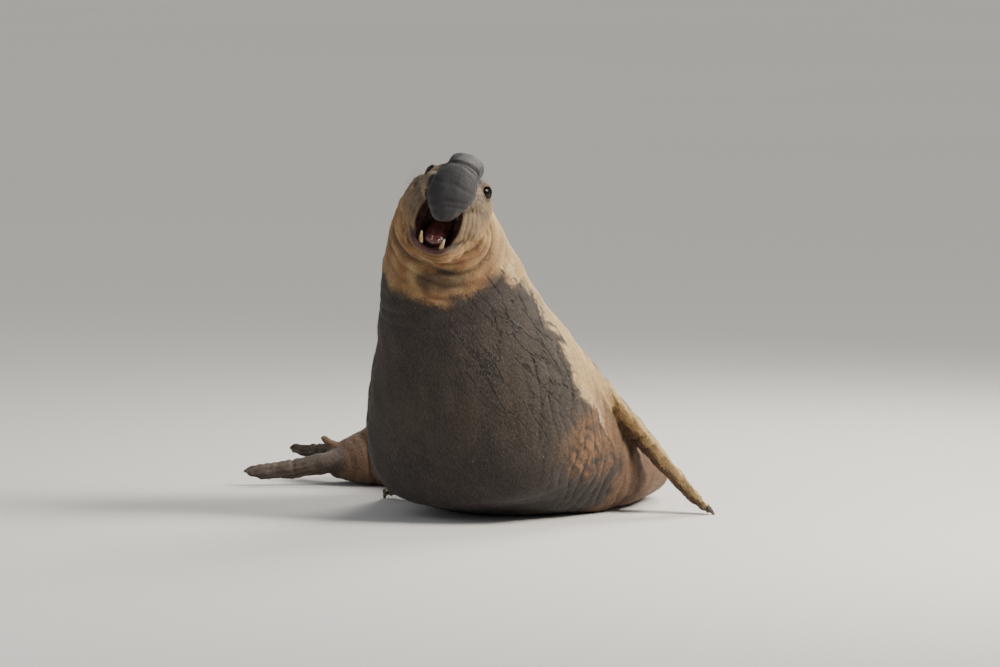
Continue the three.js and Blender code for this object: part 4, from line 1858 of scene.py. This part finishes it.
@dataclass
class Studio:
    """A pale floor, soft lights and the camera.

    Attributes:
        anatomy: The animal's anatomy.
        azimuth: The camera's angle round from the animal's front to its left.
        elevation: The camera's angle over the horizon.
        distance: The camera's distance from the foot of the chest.
        lens: The camera's focal length in millimetres.
        sensor: The width of its sensor in millimetres.
        picture_width: The width of the picture in pixels.
        foot_below_middle: How many pixels below the picture's middle the foot of the chest stands.
    """

    anatomy: Anatomy
    azimuth: float = math.radians(20.0)
    elevation: float = math.radians(6.5)
    distance: float = 30.0
    lens: float = 194.4
    sensor: float = 36.0
    picture_width: int = 1000
    foot_below_middle: float = 184.5
    foot: Vector = field(init=False)

    def __post_init__(self) -> None:
        """Finds the foot of the chest, which the camera and the lights are placed from."""
        self.foot = Vector((self.anatomy.offset[0], self.anatomy.offset[1], 0.0))

    def build(self) -> None:
        """Makes the floor, the lights and the camera."""
        self.floor()
        self.lights()
        self.camera()

    def floor(self) -> None:
        """Lays a wide pale floor."""
        clear_selection()
        bpy.ops.mesh.primitive_circle_add(vertices=96, radius=420.0, fill_type="NGON")
        floor = bpy.context.object
        floor.name = "floor"
        g = Graph("pale_floor")
        cloud = g.ramp(g.noise(0.05, 1.0), 0.3, 0.7)
        g.feed(g.shader.inputs["Base Color"], g.mix(cloud, linear("d9d6d0"), linear("dbd8d3")))
        g.shader.inputs["Roughness"].default_value = 0.9
        floor.data.materials.append(g.material)

    def lights(self) -> None:
        """Sets a low sun and a key light to the animal's left, a fill, a rim light and a soft sky."""
        world = bpy.data.worlds.new("sky")
        bpy.context.scene.world = world
        world.use_nodes = True
        sky = world.node_tree.nodes["Background"]
        sky.inputs["Color"].default_value = (0.90, 0.93, 1.0, 1.0)
        sky.inputs["Strength"].default_value = 0.27
        sun = bpy.data.objects.new("sun", bpy.data.lights.new("sun", "SUN"))
        sun.data.energy = 2.3
        sun.data.angle = math.radians(16.0)
        sun.data.color = WARM
        sun.rotation_euler = Vector((0.80, -0.10, 0.60)).to_track_quat("Z", "Y").to_euler()
        bpy.context.scene.collection.objects.link(sun)
        for lamp in LAMPS:
            light = bpy.data.lights.new(lamp.name, "AREA")
            light.size = lamp.size
            light.energy = lamp.power
            light.color = lamp.colour
            placed = bpy.data.objects.new(lamp.name, light)
            bpy.context.scene.collection.objects.link(placed)
            away = toward(math.radians(lamp.azimuth), math.radians(lamp.elevation))
            placed.location = self.foot + Vector((0, 0.3, 0.8)) + away * lamp.distance
            placed.rotation_euler = away.to_track_quat("Z", "Y").to_euler()

    def camera(self) -> None:
        """Stands the camera where the photograph was taken from."""
        data = bpy.data.cameras.new("camera")
        data.lens = self.lens
        data.sensor_width = self.sensor
        data.clip_end = 500.0
        camera = bpy.data.objects.new("camera", data)
        bpy.context.scene.collection.objects.link(camera)
        camera.location = self.foot + toward(self.azimuth, self.elevation) * self.distance
        lower = math.atan(self.foot_below_middle / (self.lens / self.sensor * self.picture_width))
        facing = toward(self.azimuth, self.elevation - lower)
        camera.rotation_euler = facing.to_track_quat("Z", "Y").to_euler()
        bpy.context.scene.camera = camera


def main() -> None:
    """Builds every piece in order and reports it."""
    logging.basicConfig(level=logging.INFO, format="%(name)s: %(message)s")
    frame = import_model()
    anatomy = Anatomy.read()
    Studio(anatomy).build()
    skin = Skin(anatomy, frame)
    pieces = [skin.build(), *Eyes(anatomy).build(), *Teeth(frame).build(), Tongue(anatomy, frame).build()]
    pieces += [*Claws(anatomy).build(), Whiskers(anatomy, skin.piece).build()]
    pieces += Coat(anatomy, skin.piece, skin.survey).build()
    for piece in pieces:
        LOG.info("%s has %d faces", piece.name, len(piece.data.polygons))


if __name__ == "__main__":
    main()
